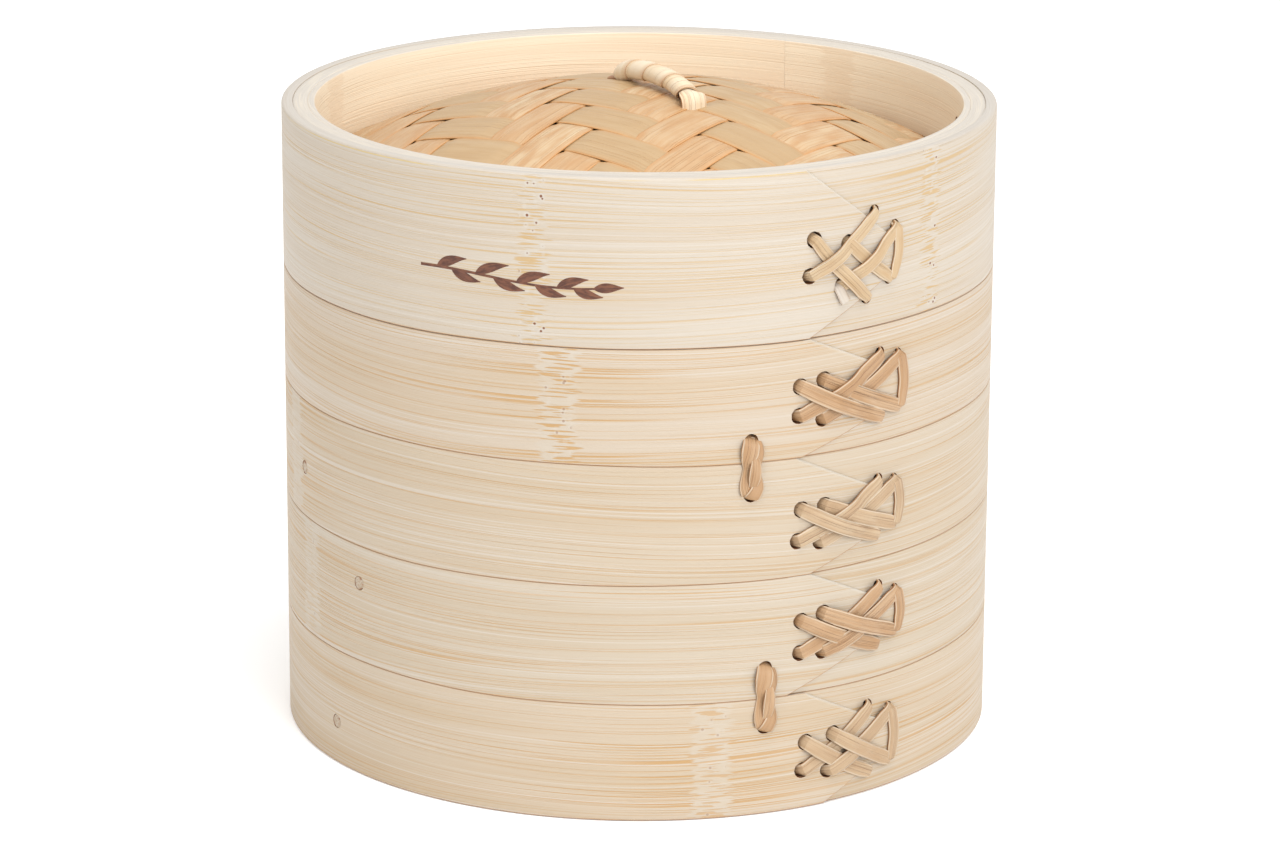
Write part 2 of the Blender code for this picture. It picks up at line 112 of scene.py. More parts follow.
# Woven dome, whose edge the lid's top band sinks into
SHEET_EDGE = node_box("lid_top_band")[0].z - 0.3
SHEET_SINK = 0.5
DOME_RADIUS = 68.6
DOME_RISE = 16.5
WEAVE_RADIUS = 73.0
DOME_SPHERE = (DOME_RADIUS**2 + DOME_RISE**2) / (2 * DOME_RISE)

# Handle, on the hinge that rocks it. Its winding starts and ends at these angles along the arch.
HANDLE_JOINT = next(joint for joint in frame["joints"] if joint["name"] == "handle_tilt")
HANDLE_CENTRE = Vector(HANDLE_JOINT["pos_m"]) / MM
HANDLE_TURN = atan2(HANDLE_JOINT["axis"][1], HANDLE_JOINT["axis"][0])
HANDLE_HALF_SPAN = 14.0
HANDLE_RISE = 3.7
HANDLE_SIDE = Vector((0, 1, 0))
CORE_STRAND_RADIUS = 0.72
CORE_OFFSET = 0.62
WRAP_RADIUS = 1.64
WRAP_TURNS = 4.405
WRAP_START = 9.0
WRAP_END = 150.0

# How much brighter than its own colour a surface shows in the studio: outside, and inside the lid
STUDIO_LIGHT = 1.87
BOWL_LIGHT = 1.32


def srgb(red, green, blue, light=STUDIO_LIGHT):
    """The surface colour, as linear values with alpha, that shows as these 0 to 255 values in the studio."""
    channels = [value / 255 for value in (red, green, blue)]
    linear = [c / 12.92 if c <= 0.04045 else ((c + 0.055) / 1.055) ** 2.4 for c in channels]
    return (*[value / light for value in linear], 1.0)


def bowl(red, green, blue):
    return srgb(red, green, blue, BOWL_LIGHT)


def smooth(value, low, high):
    """0 below low, 1 above high, and an even curve between."""
    t = min(1.0, max(0.0, (value - low) / (high - low)))
    return t * t * (3 - 2 * t)


def blend(a, b, t):
    return a + (b - a) * t


def polar(radius, angle, height):
    return Vector((radius * sin(radians(angle)), -radius * cos(radians(angle)), height))


def outward(point):
    """The level direction away from the steamer's axis at a point."""
    return Vector((point.x, point.y, 0)).normalized()


def arc_angle(arc):
    return degrees(arc / OUTER)


def arc_of(angle):
    return radians(angle) * OUTER


def add_object(name, data):
    """A new object in the scene that shows a mesh, a light or a camera."""
    obj = bpy.data.objects.new(name, data)
    bpy.context.scene.collection.objects.link(obj)
    return obj


PORE = srgb(146, 84, 42)
PORE_HALO = srgb(244, 236, 224)
# Painted shade on lower edges
UNDER_SHADE = srgb(204, 142, 84)
# Painted yellow highlight for the lid's rounded rim
RIM_HIGHLIGHT = srgb(244, 214, 146)
EDGE = srgb(248, 239, 227)
# Pale fresh cut, brightened further as a painted highlight on the upward cut edges
FRESH_CUT_HIGHLIGHT = srgb(255, 251, 238)
# Painted shade in the seams between hoops, on the basket hoops' rounded edges
SEAM_SHADE = srgb(222, 172, 116)
STREAK = srgb(244, 234, 220)
# Pale split edge of a cane, brightened as a painted highlight
SPLIT_EDGE_HIGHLIGHT = srgb(250, 232, 206)


# ---- Materials


class Shader:
    """A material's node tree, built from short calls that return sockets."""

    def __init__(self, name):
        self.material = bpy.data.materials.new(name)
        self.material.use_nodes = True
        self.tree = self.material.node_tree
        self.surface = self.tree.nodes["Principled BSDF"]

    def feed(self, socket, value):
        if isinstance(value, bpy.types.NodeSocket):
            self.tree.links.new(value, socket)
        else:
            socket.default_value = value

    def node(self, kind, *inputs, **settings):
        node = self.tree.nodes.new(kind)
        for key, value in settings.items():
            setattr(node, key, value)
        for index, value in enumerate(inputs):
            if value is not None:
                self.feed(node.inputs[index], value)
        return node

    def math(self, operation, a, b=None):
        return self.node("ShaderNodeMath", a, b, operation=operation).outputs[0]

    def times(self, first, *factors):
        """The product of all the values."""
        for factor in factors:
            first = self.math("MULTIPLY", first, factor)
        return first

    def span(self, value, low, high, start=0.0, end=1.0):
        """A smooth step from start to end as a value goes from low to high."""
        places = (value, low, high, start, end)
        return self.node("ShaderNodeMapRange", *places, interpolation_type="SMOOTHSTEP").outputs[0]

    def mix(self, factor, a, b):
        node = self.node("ShaderNodeMix", data_type="RGBA")
        for index, value in ((0, factor), (6, a), (7, b)):
            self.feed(node.inputs[index], value)
        return node.outputs[2]

    def fibre(self):
        """Millimetres along and across the fibres, and the piece's own tone from 0 to 1."""
        attribute = self.node("ShaderNodeAttribute", attribute_name="fibre")
        split = self.node("ShaderNodeSeparateXYZ", attribute.outputs["Vector"])
        return split.outputs[0], split.outputs[1], split.outputs[2]

    def edge(self):
        """1 on a strip's cut edges, 0 on its face, -1 on its underside."""
        return self.node("ShaderNodeAttribute", attribute_name="edge").outputs["Fac"]

    def scaled(self, u, v, length, width, seed):
        """The place along and across the fibres in cells of a length and width."""
        cell = (self.math("DIVIDE", u, length), self.math("DIVIDE", v, width))
        return self.node("ShaderNodeCombineXYZ", *cell, seed).outputs[0]

    def noise(self, u, v, length, width, seed, detail=2.0, roughness=0.5):
        """Noise with marks about so long along the fibres and so wide across them."""
        place = self.scaled(u, v, length, width, seed)
        return self.node("ShaderNodeTexNoise", place, None, 1.0, detail, roughness).outputs[0]

    def finish(self, colour, roughness, relief, depth):
        """Connect a colour, a roughness and a relief whose full height is the depth in millimetres."""
        self.feed(self.surface.inputs["Base Color"], colour)
        self.feed(self.surface.inputs["Roughness"], roughness)
        bump = self.node("ShaderNodeBump")
        bump.inputs["Strength"].default_value = 1.0
        bump.inputs["Distance"].default_value = depth * MM
        self.feed(bump.inputs["Height"], relief)
        self.tree.links.new(bump.outputs[0], self.surface.inputs["Normal"])
        return self.material


@dataclass(frozen=True)
class Tones:
    """A bamboo's colours, and how strong its lines, nodes, dashes, pores, painted yellow rim highlight and
    pale streaks are.
    A joint is a node of the cane, and its reach is measured from the node's middle."""

    light: tuple
    shade: tuple
    line: tuple
    # Colour of the rounded edges; on the baskets' hoops it is painted seam shade
    edge: tuple
    joint: tuple
    lines: float = 1.0
    joint_strength: float = 0.3
    joint_reach: float = 3.8
    dashes: float = 1.0
    pores: float = 0.0
    rim_highlight: float = 0.0
    streaks: float = 0.55


def bamboo(name, tones, seed, nodes, cut_until=0.0):
    """Planed bamboo strip: long fibre lines, finer fibres, and nodes with short dashes and pores.
    Its edges are freshly cut as far along as cut_until, and brightened there by a painted highlight, and a
    painted yellow highlight lines its rim for a while after that. Its lower edges take painted shade."""
    s = Shader(name)
    u, v, tone = s.fibre()
    edge = s.edge()

    v = s.math("ADD", v, s.span(s.noise(u, v, 150.0, 40.0, seed + 40.0, 1.0), 0.2, 0.8, -2.0, 2.0))
    body = s.noise(u, v, 120.0, 6.0, seed, 2.0)
    fine = s.noise(u, v, 26.0, 0.22, seed + 1.7, 2.0, 0.6)
    lines = s.noise(u, v, 110.0, 0.44, seed + 3.1, 0.0)
    split = s.span(s.noise(u, v, 80.0, 0.21, seed + 4.4, 0.0), 0.36, 0.56)
    thin = s.noise(u, v, 150.0, 0.26, seed + 5.3, 0.0)
    clusters = s.span(s.noise(u, v, 70.0, 3.6, seed + 8.9, 1.0), 0.38, 0.62, 0.10, 1.0)
    line_mask = s.times(s.span(lines, 0.60, 0.70), clusters, split)
    thin_mask = s.times(s.span(thin, 0.62, 0.72), 0.55)
    marks = s.math("MAXIMUM", line_mask, thin_mask)

    colour = s.mix(s.span(body, 0.36, 0.64), tones.light, tones.shade)
    colour = s.mix(s.times(tone, 0.6), colour, tones.shade)
    colour = s.mix(s.span(fine, 0.40, 0.78, 0.0, 0.16), colour, tones.line)
    streaks = s.noise(u, v, 130.0, 0.42, seed + 21.3, 1.0)
    colour = s.mix(s.span(streaks, 0.56, 0.70, 0.0, tones.streaks), colour, STREAK)

    near = None
    for place in nodes:
        apart = s.math("ABSOLUTE", s.math("SUBTRACT", u, place))
        near = apart if near is None else s.math("MINIMUM", near, apart)
    wander = s.noise(u, v, 30.0, 0.9, seed + 12.1, 2.0)
    apart = s.math("ADD", near, s.span(wander, 0.3, 0.7, -1.3, 1.3))
    stronger = s.times(s.span(lines, 0.55, 0.66), s.span(near, 32.0, 8.0), split)
    reach = tones.joint_reach
    marks = s.times(s.math("MAXIMUM", marks, stronger), s.span(apart, reach - 0.6, reach + 0.5))
    dashes = s.math("SUBTRACT", s.noise(u, v, 6.0, 0.36, seed + 15.7, 0.0), s.times(apart, 0.035))
    dash_mask = s.span(dashes, 0.49, 0.58)
    dash_mask = s.times(dash_mask, s.span(apart, reach + 1.6, reach, 0.0, tones.dashes))
    joint_mask = s.times(s.span(apart, reach + 0.8, reach - 0.6), tones.joint_strength)
    colour = s.mix(joint_mask, colour, tones.joint)
    marks = s.math("MAXIMUM", marks, dash_mask)

    colour = s.mix(s.times(marks, 0.85 * tones.lines), colour, tones.line)
    relief = s.math("SUBTRACT", s.times(fine, 0.6), s.times(marks, 0.5))

    if tones.pores:
        cells = s.node("ShaderNodeTexVoronoi", s.scaled(u, v, 1.7, 1.6, seed), None, 1.0)
        spots = cells.outputs["Distance"]
        some = s.node("ShaderNodeSeparateXYZ", cells.outputs["Color"]).outputs[0]
        column = s.times(s.span(near, 3.2, 2.4), s.span(some, 0.50, 0.54))
        halo_mask = s.times(s.span(spots, 0.46, 0.28), column)
        pore_mask = s.times(s.span(spots, 0.21, 0.13), column)
        colour = s.mix(s.times(halo_mask, 0.4 * tones.pores), colour, PORE_HALO)
        colour = s.mix(s.times(pore_mask, 0.95 * tones.pores), colour, PORE)
        relief = s.math("SUBTRACT", relief, s.times(pore_mask, 0.15))

    cut_grain = s.noise(u, v, 14.0, 0.5, seed + 31.0, 2.0)
    beyond_cut = s.span(u, cut_until - 0.4, cut_until + 0.4)
    # Rounded edges take the tones' edge colour, which is painted seam shade on the baskets' hoops; cut faces
    # are pale
    edge_colour = s.mix(s.span(edge, 0.6, 0.95), tones.edge, EDGE)
    # Up to the cut end, the pale fresh cut is brightened as a painted highlight
    edge_colour = s.mix(beyond_cut, FRESH_CUT_HIGHLIGHT, edge_colour)
    edge_colour = s.mix(s.span(cut_grain, 0.4, 0.7, 0.0, 0.3), edge_colour, tones.light)
    colour = s.mix(s.times(s.math("MAXIMUM", edge, 0.0), 0.9), colour, edge_colour)
    # A painted yellow highlight, in patches, on the rim's rounding along the front stretch past the cut end
    if tones.rim_highlight:
        band = s.times(s.span(edge, 0.04, 0.12), s.span(edge, 0.34, 0.24))
        where = s.span(s.noise(u, v, 34.0, 400.0, seed + 61.0, 2.0), 0.40, 0.52)
        front = s.times(beyond_cut, s.span(u, cut_until + 150.0, cut_until + 120.0))
        colour = s.mix(s.times(band, where, front, tones.rim_highlight), colour, RIM_HIGHLIGHT)
    # Lower edges take painted shade, and the underside takes the darker tone
    lower_shade_colour = s.mix(s.span(edge, -0.6, -0.95), UNDER_SHADE, tones.shade)
    colour = s.mix(s.span(edge, -0.02, -0.14, 0.0, 0.9), colour, lower_shade_colour)
    return s.finish(colour, s.span(fine, 0.3, 0.7, 0.44, 0.60), relief, 0.08)


def strip_material(
    name, light, dark, groove_and_shade, seed, groove=1.0, lengthwise=22.0, across=0.32, rim=0.45, split_edge_highlight=None
):
    """Split bamboo or cane strip: close fibres of a length and width, edges in painted shade or pale split
    ones with a painted highlight, and painted shade below.
    """
    s = Shader(name)
    u, v, tone = s.fibre()
    edge = s.edge()
    body = s.noise(u, v, 9.0, 2.4, seed, 2.0)
    fibres = s.noise(u, v, lengthwise, across, seed + 2.3, 3.0, 0.6)
    grooves = s.noise(u, v, lengthwise * 1.6, across * 0.55, seed + 6.1, 1.0)
    colour = s.mix(s.span(body, 0.35, 0.7), light, dark)
    colour = s.mix(s.times(tone, 0.7), colour, dark)
    colour = s.mix(s.span(fibres, 0.45, 0.72, 0.0, 0.75 * groove), colour, dark)
    colour = s.mix(s.span(grooves, 0.60, 0.72, 0.0, 0.6 * groove), colour, groove_and_shade)
    # Cut edges take painted shade, or a pale split edge with a painted highlight; the sides and underside
    # take painted shade
    colour = s.mix(s.times(s.math("MAXIMUM", edge, 0.0), rim), colour, split_edge_highlight or groove_and_shade)
    colour = s.mix(s.span(edge, -0.1, -0.7, 0.0, 0.9), colour, groove_and_shade)
    relief = s.math("SUBTRACT", s.math("MULTIPLY", fibres, -1.0), s.span(grooves, 0.6, 0.72))
    return s.finish(colour, s.span(fibres, 0.3, 0.7, 0.42, 0.58), relief, 0.09)


def end_grain_material(name, light, dark, seed):
    """Bamboo cut across: dots of fibre bundles in a paler ground, with a dark rim."""
    s = Shader(name)
    u, v, _ = s.fibre()
    edge = s.edge()
    dots = s.noise(u, v, 0.42, 0.42, seed, 1.0)
    ground = s.noise(u, v, 2.2, 1.6, seed + 4.0, 2.0)
    rim = s.span(s.noise(u, v, 1.3, 1.1, seed + 7.0, 1.0), 0.46, 0.60, 0.05, 0.85)
    colour = s.mix(s.span(dots, 0.5, 0.62), light, dark)
    colour = s.mix(s.span(ground, 0.4, 0.65, 0.0, 0.5), colour, dark)
    colour = s.mix(s.times(edge, rim), colour, srgb(176, 120, 76))
    return s.finish(colour, s.span(ground, 0.3, 0.7, 0.55, 0.75), dots, 0.08)


def cut_material():
    """The inside of a drilled hole: scorched and fibrous."""
    s = Shader("drilled_wood")
    u, v, _ = s.fibre()
    ground = s.noise(u, v, 2.0, 0.5, 3.0, 2.0)
    colour = s.mix(s.span(ground, 0.35, 0.65), srgb(150, 92, 54), srgb(206, 146, 96))
    return s.finish(colour, s.span(ground, 0.3, 0.7, 0.7, 0.85), ground, 0.1)


# ---- Mesh building


class Skin:
    """A mesh under construction. A face corner holds its place along and across the fibres and its edge
    value: 1 on a strip's cut edges, 0 on its face, -1 on its underside."""

    def __init__(self, tone=0.0, shift=(0.0, 0.0)):
        self.points, self.faces, self.corners, self.slots = [], [], [], []
        self.tone = tone
        self.shift = shift
        self.slot = 0

    def point(self, position):
        self.points.append(position)
        return len(self.points) - 1

    def face(self, indices, corners):
        """Corners are (u, v, edge) for each index."""
        self.faces.append(tuple(indices))
        moved = [(u + self.shift[0], v + self.shift[1], self.tone, edge) for u, v, edge in corners]
        self.corners.append(moved)
        self.slots.append(self.slot)

    def loft(self, rings, along):
        """Skin a row of sections. Each ring's points are (position, v before, v after, edge)."""
        rows = [[self.point(position) for position, *_ in ring] for ring in rings]
        count = len(rings[0])
        for near in range(len(rings) - 1):
            far = near + 1
            for here in range(count):
                beside = (here + 1) % count
                places = ((near, here, 2), (near, beside, 1), (far, beside, 1), (far, here, 2))
                corners = [(along[row], rings[row][at][v], rings[row][at][3]) for row, at, v in places]
                self.face([rows[row][at] for row, at, _ in places], corners)
        for end, order in ((0, -1), (len(rings) - 1, 1)):
            self.face(rows[end][::order], [(along[end], place[1], 1.0) for place in rings[end][::order]])

    def volume(self):
        total = 0.0
        for face in self.faces:
            a = self.points[face[0]]
            for b, c in zip(face[1:], face[2:]):
                total += a.dot(self.points[b].cross(self.points[c]))
        return total

    def build(self, name, materials, sharp=38.0):
        """The finished object, its faces turned out."""
        if self.volume() < 0:
            self.faces = [face[::-1] for face in self.faces]
            self.corners = [corners[::-1] for corners in self.corners]
        mesh = bpy.data.meshes.new(name)
        mesh.from_pydata([point * MM for point in self.points], [], self.faces)
        flat = [corner for corners in self.corners for corner in corners]
        fibre = mesh.attributes.new("fibre", "FLOAT_VECTOR", "CORNER")
        fibre.data.foreach_set("vector", [value for corner in flat for value in corner[:3]])
        edge = mesh.attributes.new("edge", "FLOAT", "CORNER")
        edge.data.foreach_set("value", [corner[3] for corner in flat])
        mesh.polygons.foreach_set("material_index", self.slots)
        for material in materials:
            mesh.materials.append(material)
        mesh.shade_smooth()
        mesh.set_sharp_from_angle(angle=radians(sharp))
        return add_object(name, mesh)


def mirrored(*half):
    """Places across a strip from those of its left half, each with its edge value. The middle comes last."""
    return half + tuple((-place, edge) for place, edge in half[-2::-1])


def even_steps(count):
    """Evenly spaced places across a strip, with the outermost as its edges."""
    return [(step / count - 0.5, 1.0 if step in (0, count) else 0.0) for step in range(count + 1)]


# Close together at the crisp edges. A split ribbon's pale edges, brightened as a painted highlight, end in a
# corner darkened as painted shade.
STRIP_STEPS = mirrored((-0.5, 1.0), (-0.46, 0.3), (-0.36, 0.0), (-0.18, 0.0), (0.0, 0.0))
RIBBON_STEPS = mirrored((-0.5, -0.35), (-0.455, 1.0), (-0.38, 0.0), (-0.18, 0.0), (0.0, 0.0))


def both_faces(steps):
    """Places round a strip as (face, place across, edge). The face is 1 above, then -1 back along below."""
    return [(1, *step) for step in steps] + [(-1, *step) for step in steps[::-1]]


def ribbon_ring(centre, along, out, width, thickness, crown):
    """One section of a flat strip: its upper face from side to side, then its lower face back."""
    out = (out - along * out.dot(along)).normalized()
    side = along.cross(out)
    ring = []
    for face, across, edge in both_faces(RIBBON_STEPS):
        thin = 1 - 0.5 * (2 * abs(across)) ** 6
        lift = 0.5 * face * thickness * thin - crown * (2 * across) ** 2
        place = across * width
        ring.append((centre + side * place + out * lift, place, place, edge if face > 0 else -1.0))
    return ring


def add_ribbon(skin, rows, thickness):
    """A flat strip along rows of (centre, direction its upper face is turned to, width, crown)."""
    rings, along = [], []
    run = 0.0
    for index, (centre, out, width, crown) in enumerate(rows):
        before = rows[max(0, index - 1)][0]
        after = rows[min(len(rows) - 1, index + 1)][0]
        run += (centre - before).length
        rings.append(ribbon_ring(centre, (after - before).normalized(), out, width, thickness, crown))
        along.append(run)
    skin.loft(rings, along)


def wall_rod(wall, angle, height, radius):
    """A rod for cut_holes through a wall of (inner, outer) radius."""
    return polar(wall[0], angle, height), polar(wall[1], angle, height), radius


def cut_holes(obj, rods, boxes=(), ragged=0.0, seed=1):
    """Drill rods of (start, end, radius) and cut boxes out of an object. A box is a matrix that turns a unit
    cube into it. The cut faces take the object's second material."""
    pick = random.Random(seed)
    bm = bmesh.new()
    for start, end, radius in rods:
        run = end - start
        turn = run.to_track_quat("Z", "Y").to_matrix().to_4x4()
        made = bmesh.ops.create_cone(
            bm, cap_ends=True, segments=20, radius1=radius * MM, radius2=radius * MM,
            depth=run.length * MM, matrix=Matrix.Translation((start + end) / 2 * MM) @ turn,
        )
        if ragged:
            middle = (start + end) / 2 * MM
            axis = run.normalized()
            by_angle = {}
            for vert in made["verts"]:
                offset = vert.co - middle
                spoke = offset - axis * offset.dot(axis)
                key = tuple(round(value, 6) for value in spoke)
                by_angle.setdefault(key, 1 + pick.uniform(-ragged, ragged))
                vert.co += spoke * (by_angle[key] - 1)
    for box in boxes:
        bmesh.ops.create_cube(bm, size=1.0, matrix=Matrix.Scale(MM, 4) @ box)
    for face in bm.faces:
        face.material_index = 1
    mesh = bpy.data.meshes.new(obj.name + "_drill")
    bm.to_mesh(mesh)
    bm.free()
    for material in obj.data.materials:
        mesh.materials.append(material)
    tool = add_object(obj.name + "_drill", mesh)
    modifier = obj.modifiers.new("drill", "BOOLEAN")
    modifier.operation = "DIFFERENCE"
    modifier.solver = "EXACT"
    modifier.object = tool
    bpy.context.view_layer.update()
    evaluated = obj.evaluated_get(bpy.context.evaluated_depsgraph_get())
    result = bpy.data.meshes.new_from_object(evaluated)
    obj.modifiers.clear()
    old = obj.data
    obj.data = result
    bpy.data.meshes.remove(old)
    bpy.data.objects.remove(tool)
    bpy.data.meshes.remove(mesh)


def hand_over(obj, body, slot, *nodes):
    """Let a finished piece ride on a body and stand for its CAD nodes."""
    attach(obj, body)
    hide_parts(*nodes)


def through(rows, share):
    """A point at a share of the way along rows of values, on a smooth curve that passes through each."""
    place = share * (len(rows) - 1)
    index = min(int(place), len(rows) - 2)
    t = place - index
    picked = [rows[min(len(rows) - 1, max(0, index + step))] for step in (-1, 0, 1, 2)]
    return [
        0.5 * (2 * b + (c - a) * t + (2 * a - 5 * b + 4 * c - d) * t * t + (3 * b - a - 3 * c + d) * t ** 3)
        for a, b, c, d in zip(*picked)
    ]


# ---- Hoops


@dataclass(frozen=True)
class Hoop:
    """One laced hoop. Cuts are the pointed end's upper and lower edges, each as the arc where it leaves the
    hoop's edge, and an (arc, height) that it passes. Heights are over the hoop's lower edge. The holes are
    named A to D at the left and E to H at the right."""

    name: str
    body: str
    upper_cut: tuple
    lower_cut: tuple
    places: tuple
    over: dict
    tones: Tones
    seed: float
    nodes: tuple
    pegs: tuple = ("peg_front", "peg_back")

    @property
    def node(self):
        return f"{self.name}_hoop"

    @property
    def holes(self):
        return dict(zip("ABCDEFGH", self.places))

    @property
    def rods(self):
        return [f"{self.name}_{peg}" for peg in self.pegs]

    @property
    def tip(self):
        """Arc of the pointed end's blunt tip, which the closing strand from F to H covers."""
        return (self.holes["F"][0] + self.holes["H"][0]) / 2 + 1.1


# Which strands each strand passes over
OVER_UPPER = {"AG": ("CE", "DF"), "CE": ("BH",), "BH": ("DF",)}
OVER_LOWER = {"BH": ("CE", "DF"), "AG": ("CE",), "DF": ("AG",)}
OVER_LID = {"CE": ("AG",), "AG": ("DF",), "DF": ("BH",)}

PALE_JOINT = srgb(234, 223, 206)
HOOP_LINE = srgb(224, 174, 104)


# A basket hoop's rounded edges take painted shade, for the seams between hoops
def basket_tones(light, shade, lines, joint_strength, dashes, pores):
    colours = (srgb(*light), srgb(*shade), HOOP_LINE, SEAM_SHADE, PALE_JOINT)
    return Tones(*colours, lines, joint_strength, dashes=dashes, pores=pores)


LID_TONES = Tones(
    srgb(236, 223, 205), srgb(233, 217, 196), srgb(232, 190, 122), EDGE, PALE_JOINT, 0.85,
    joint_strength=0.2, joint_reach=2.2, dashes=1.1, pores=1.0, rim_highlight=0.9,
)

HOOPS = (
    Hoop(
        "lid", "lid", (34.9, 48.5, 25.0), (36.1, 48.5, 6.6),
        ((36.9, 20.7), (45.1, 19.1), (36.0, 13.2), (43.6, 10.4),
         (52.2, 24.6), (58.1, 20.6), (50.5, 6.6), (56.7, 9.8)),
        OVER_LID, LID_TONES, 2.0, (-16.2, 52.5, 190.0),
        ("top_peg_left", "bottom_peg_left", "top_peg_right", "bottom_peg_right"),
    ),
    Hoop(
        "upper_top", "upper_basket", (36.4, 51.2, 18.1), (34.9, 49.3, 5.0),
        ((34.2, 15.0), (39.6, 15.8), (34.0, 8.8), (39.5, 7.6),
         (54.5, 19.0), (59.7, 17.8), (54.9, 5.5), (59.8, 6.8)),
        OVER_UPPER, basket_tones((234, 216, 193), (231, 209, 180), 1.0, 0.35, 1.0, 0.5),
        47.0, (-12.2, 150.0),
    ),
    Hoop(
        "upper_bottom", "upper_basket", (33.6, 51.9, 16.9), (37.1, 49.9, 5.0),
        ((34.8, 14.3), (40.2, 14.5), (34.0, 7.6), (39.3, 6.8),
         (54.6, 17.4), (59.2, 16.5), (54.3, 5.6), (59.2, 7.2)),
        OVER_UPPER, basket_tones((232, 214, 189), (228, 207, 178), 0.8, 0.3, 0.3, 0.3),
        91.0, (-72.1, 120.0),
    ),
    Hoop(
        "lower_top", "lower_basket", (37.3, 51.8, 19.1), (32.1, 48.9, 7.0),
        ((35.1, 15.9), (40.3, 16.9), (34.9, 9.0), (40.3, 8.6),
         (55.2, 19.9), (60.1, 18.0), (54.7, 7.3), (59.9, 9.2)),
        OVER_LOWER, basket_tones((232, 216, 193), (228, 209, 182), 0.9, 0.3, 0.45, 0.3),
        133.0, (-65.1, 175.0),
    ),
    Hoop(
        "lower_bottom", "lower_basket", (36.4, 50.3, 18.3), (41.2, 49.1, 4.1),
        ((36.5, 14.4), (43.2, 15.1), (35.8, 8.3), (42.0, 7.3),
         (52.8, 19.3), (58.8, 17.4), (53.2, 4.6), (58.9, 6.0)),
        OVER_LOWER, basket_tones((234, 215, 190), (229, 207, 177), 1.0, 0.35, 0.7, 0.4),
        171.0, (11.9, 205.0),
    ),
)

TIES = ("upper_front_tie", "upper_back_tie", "lower_front_tie", "lower_back_tie")


def seam_wobble(height, angle):
    """How far the seam at a height strays up or down, so that edges which meet there stay together."""
    if height < 1 or height > 133:
        return 0.0
    phase = height * 0.37
    turn = radians(angle)
    return 0.13 * sin(2 * turn + phase) + 0.08 * sin(5 * turn + 2.1 * phase) + 0.04 * sin(11 * turn + phase)


def strip_section(inner, outer, low, high, rounds, slope=1.0):
    """A section across a bent strip as (radius, height, v before, v after, edge), from its outer face's foot.
    The rounds are the radii of its outer upper, inner upper, inner lower and outer lower edges. The slope
    makes the first of them taller."""
    outer_top, outer_low = (min(rounds[side], 0.8 * (outer - inner)) for side in (0, 3))
    inner_top, inner_low = (min(rounds[side], 0.15 * (outer - inner)) for side in (1, 2))
    steps, outer_rows, inner_rows = 3, 8, 4
    turns = [pi / 2 * step / steps for step in range(steps + 1)]
    quarter = [(cos(turn), sin(turn), step / steps) for step, turn in enumerate(turns)]
    points = []
    for row in range(outer_rows + 1):
        height = blend(low + outer_low, high - slope * outer_top, row / outer_rows)
        points.append((outer, height, height, height, 0.0))

    def corner(radius, height, edge, below=False):
        v = height - (outer - radius) if below else height + (outer - radius)
        points.append((radius, height, v, v, edge))

    for level, rise, share in quarter[1:]:
        corner(outer - outer_top * (1 - level), high - slope * outer_top * (1 - rise), share)
    corner((outer - outer_top + inner + inner_top) / 2, high, 1.0)
    for level, rise, share in quarter:
        corner(inner + inner_top * (1 - rise), high - inner_top * (1 - level), 1 - share)
    radius, height, v, _, edge = points.pop()
    points.append((radius, height, v, INNER_FACE_OFFSET + height, edge))
    for row in range(1, inner_rows + 1):
        height = blend(high - inner_top, low + inner_low, row / inner_rows)
        v = INNER_FACE_OFFSET + height
        points.append((inner, height, v, v, 0.0))
    radius, height, v, _, edge = points.pop()
    points.append((radius, height, v, height - (outer - radius), edge))
    for level, rise, share in quarter[1:]:
        corner(inner + inner_low * (1 - level), low + inner_low * (1 - rise), -share, True)
    for level, rise, share in quarter[:-1]:
        corner(outer - outer_low * (1 - rise), low + outer_low * (1 - level), share - 1, True)
    return points


def bent(section, angle):
    """A section's points in place at an angle round the steamer."""
    return [(polar(radius, angle, height), *values) for radius, height, *values in section]


def flap_thickness(run):
    """Thickness of the hoop's outer end, shaved down towards its tip."""
    full = OUTER - HOOP_INNER
    return blend(FLAP_THICKNESS, full, smooth(run, 24.0, LAP_LENGTH + 6.0))


def hoop_radii(run):
    """Inner and outer radius of the strip at a distance from its outer tip. It dives under its own end."""
    if run < AROUND:
        outer = OUTER - (FLAP_THICKNESS + LAP_GAP) * smooth(run, AROUND - 55.0, AROUND - 4.0)
        return outer - flap_thickness(run) if run < LAP_LENGTH + 6.0 else HOOP_INNER, outer
    outer = OUTER - flap_thickness(run - AROUND) - LAP_GAP
    return HOOP_INNER, max(outer, HOOP_INNER + 0.12)


def cut_height(cut, arc, edge, limit):
    """Height of the pointed end's cut edge at an arc, from the hoop's edge until it levels out at a limit."""
    start, passed, height = cut
    wanted = edge + (height - edge) * max(0.0, arc - start) / (passed - start)
    return max(wanted, limit) if edge > limit else min(wanted, limit)


def runs(hoop):
    """Distances from the outer tip at which the strip gets a section."""
    spacing = 2.6
    fine = [step * 0.9 for step in range(36)]
    coarse_count = ceil((AROUND - fine[-1]) / spacing)
    coarse = [blend(fine[-1], AROUND, step / coarse_count) for step in range(1, coarse_count + 1)]
    lap_count = ceil(LAP_LENGTH / spacing)
    lap = [AROUND + LAP_LENGTH * step / lap_count for step in range(1, lap_count + 1)]
    kinks = [hoop.tip - hoop.upper_cut[0], hoop.tip - hoop.lower_cut[0]]
    kept = [run for run in fine if all(abs(run - kink) > 0.3 for kink in kinks)]
    return sorted(kept + kinks + coarse + lap)


def tie_holes(node):
    """The two holes of a tie as (angle, lower height, upper height), from its CAD solid."""
    low, high = node_box(node)
    return node_place(node)[0], low.z + 2.2, high.z - 2.2


def next_base(height):
    """Height at which the hoop above a hoop's upper edge begins."""
    return min(base for base in (node_box(hoop.node)[0].z for hoop in HOOPS) if base > height - 1)


def lid_rise(angle):
    """How much higher the lid's rim stands at an angle than at the back."""
    return 1.0 + cos(radians(angle))


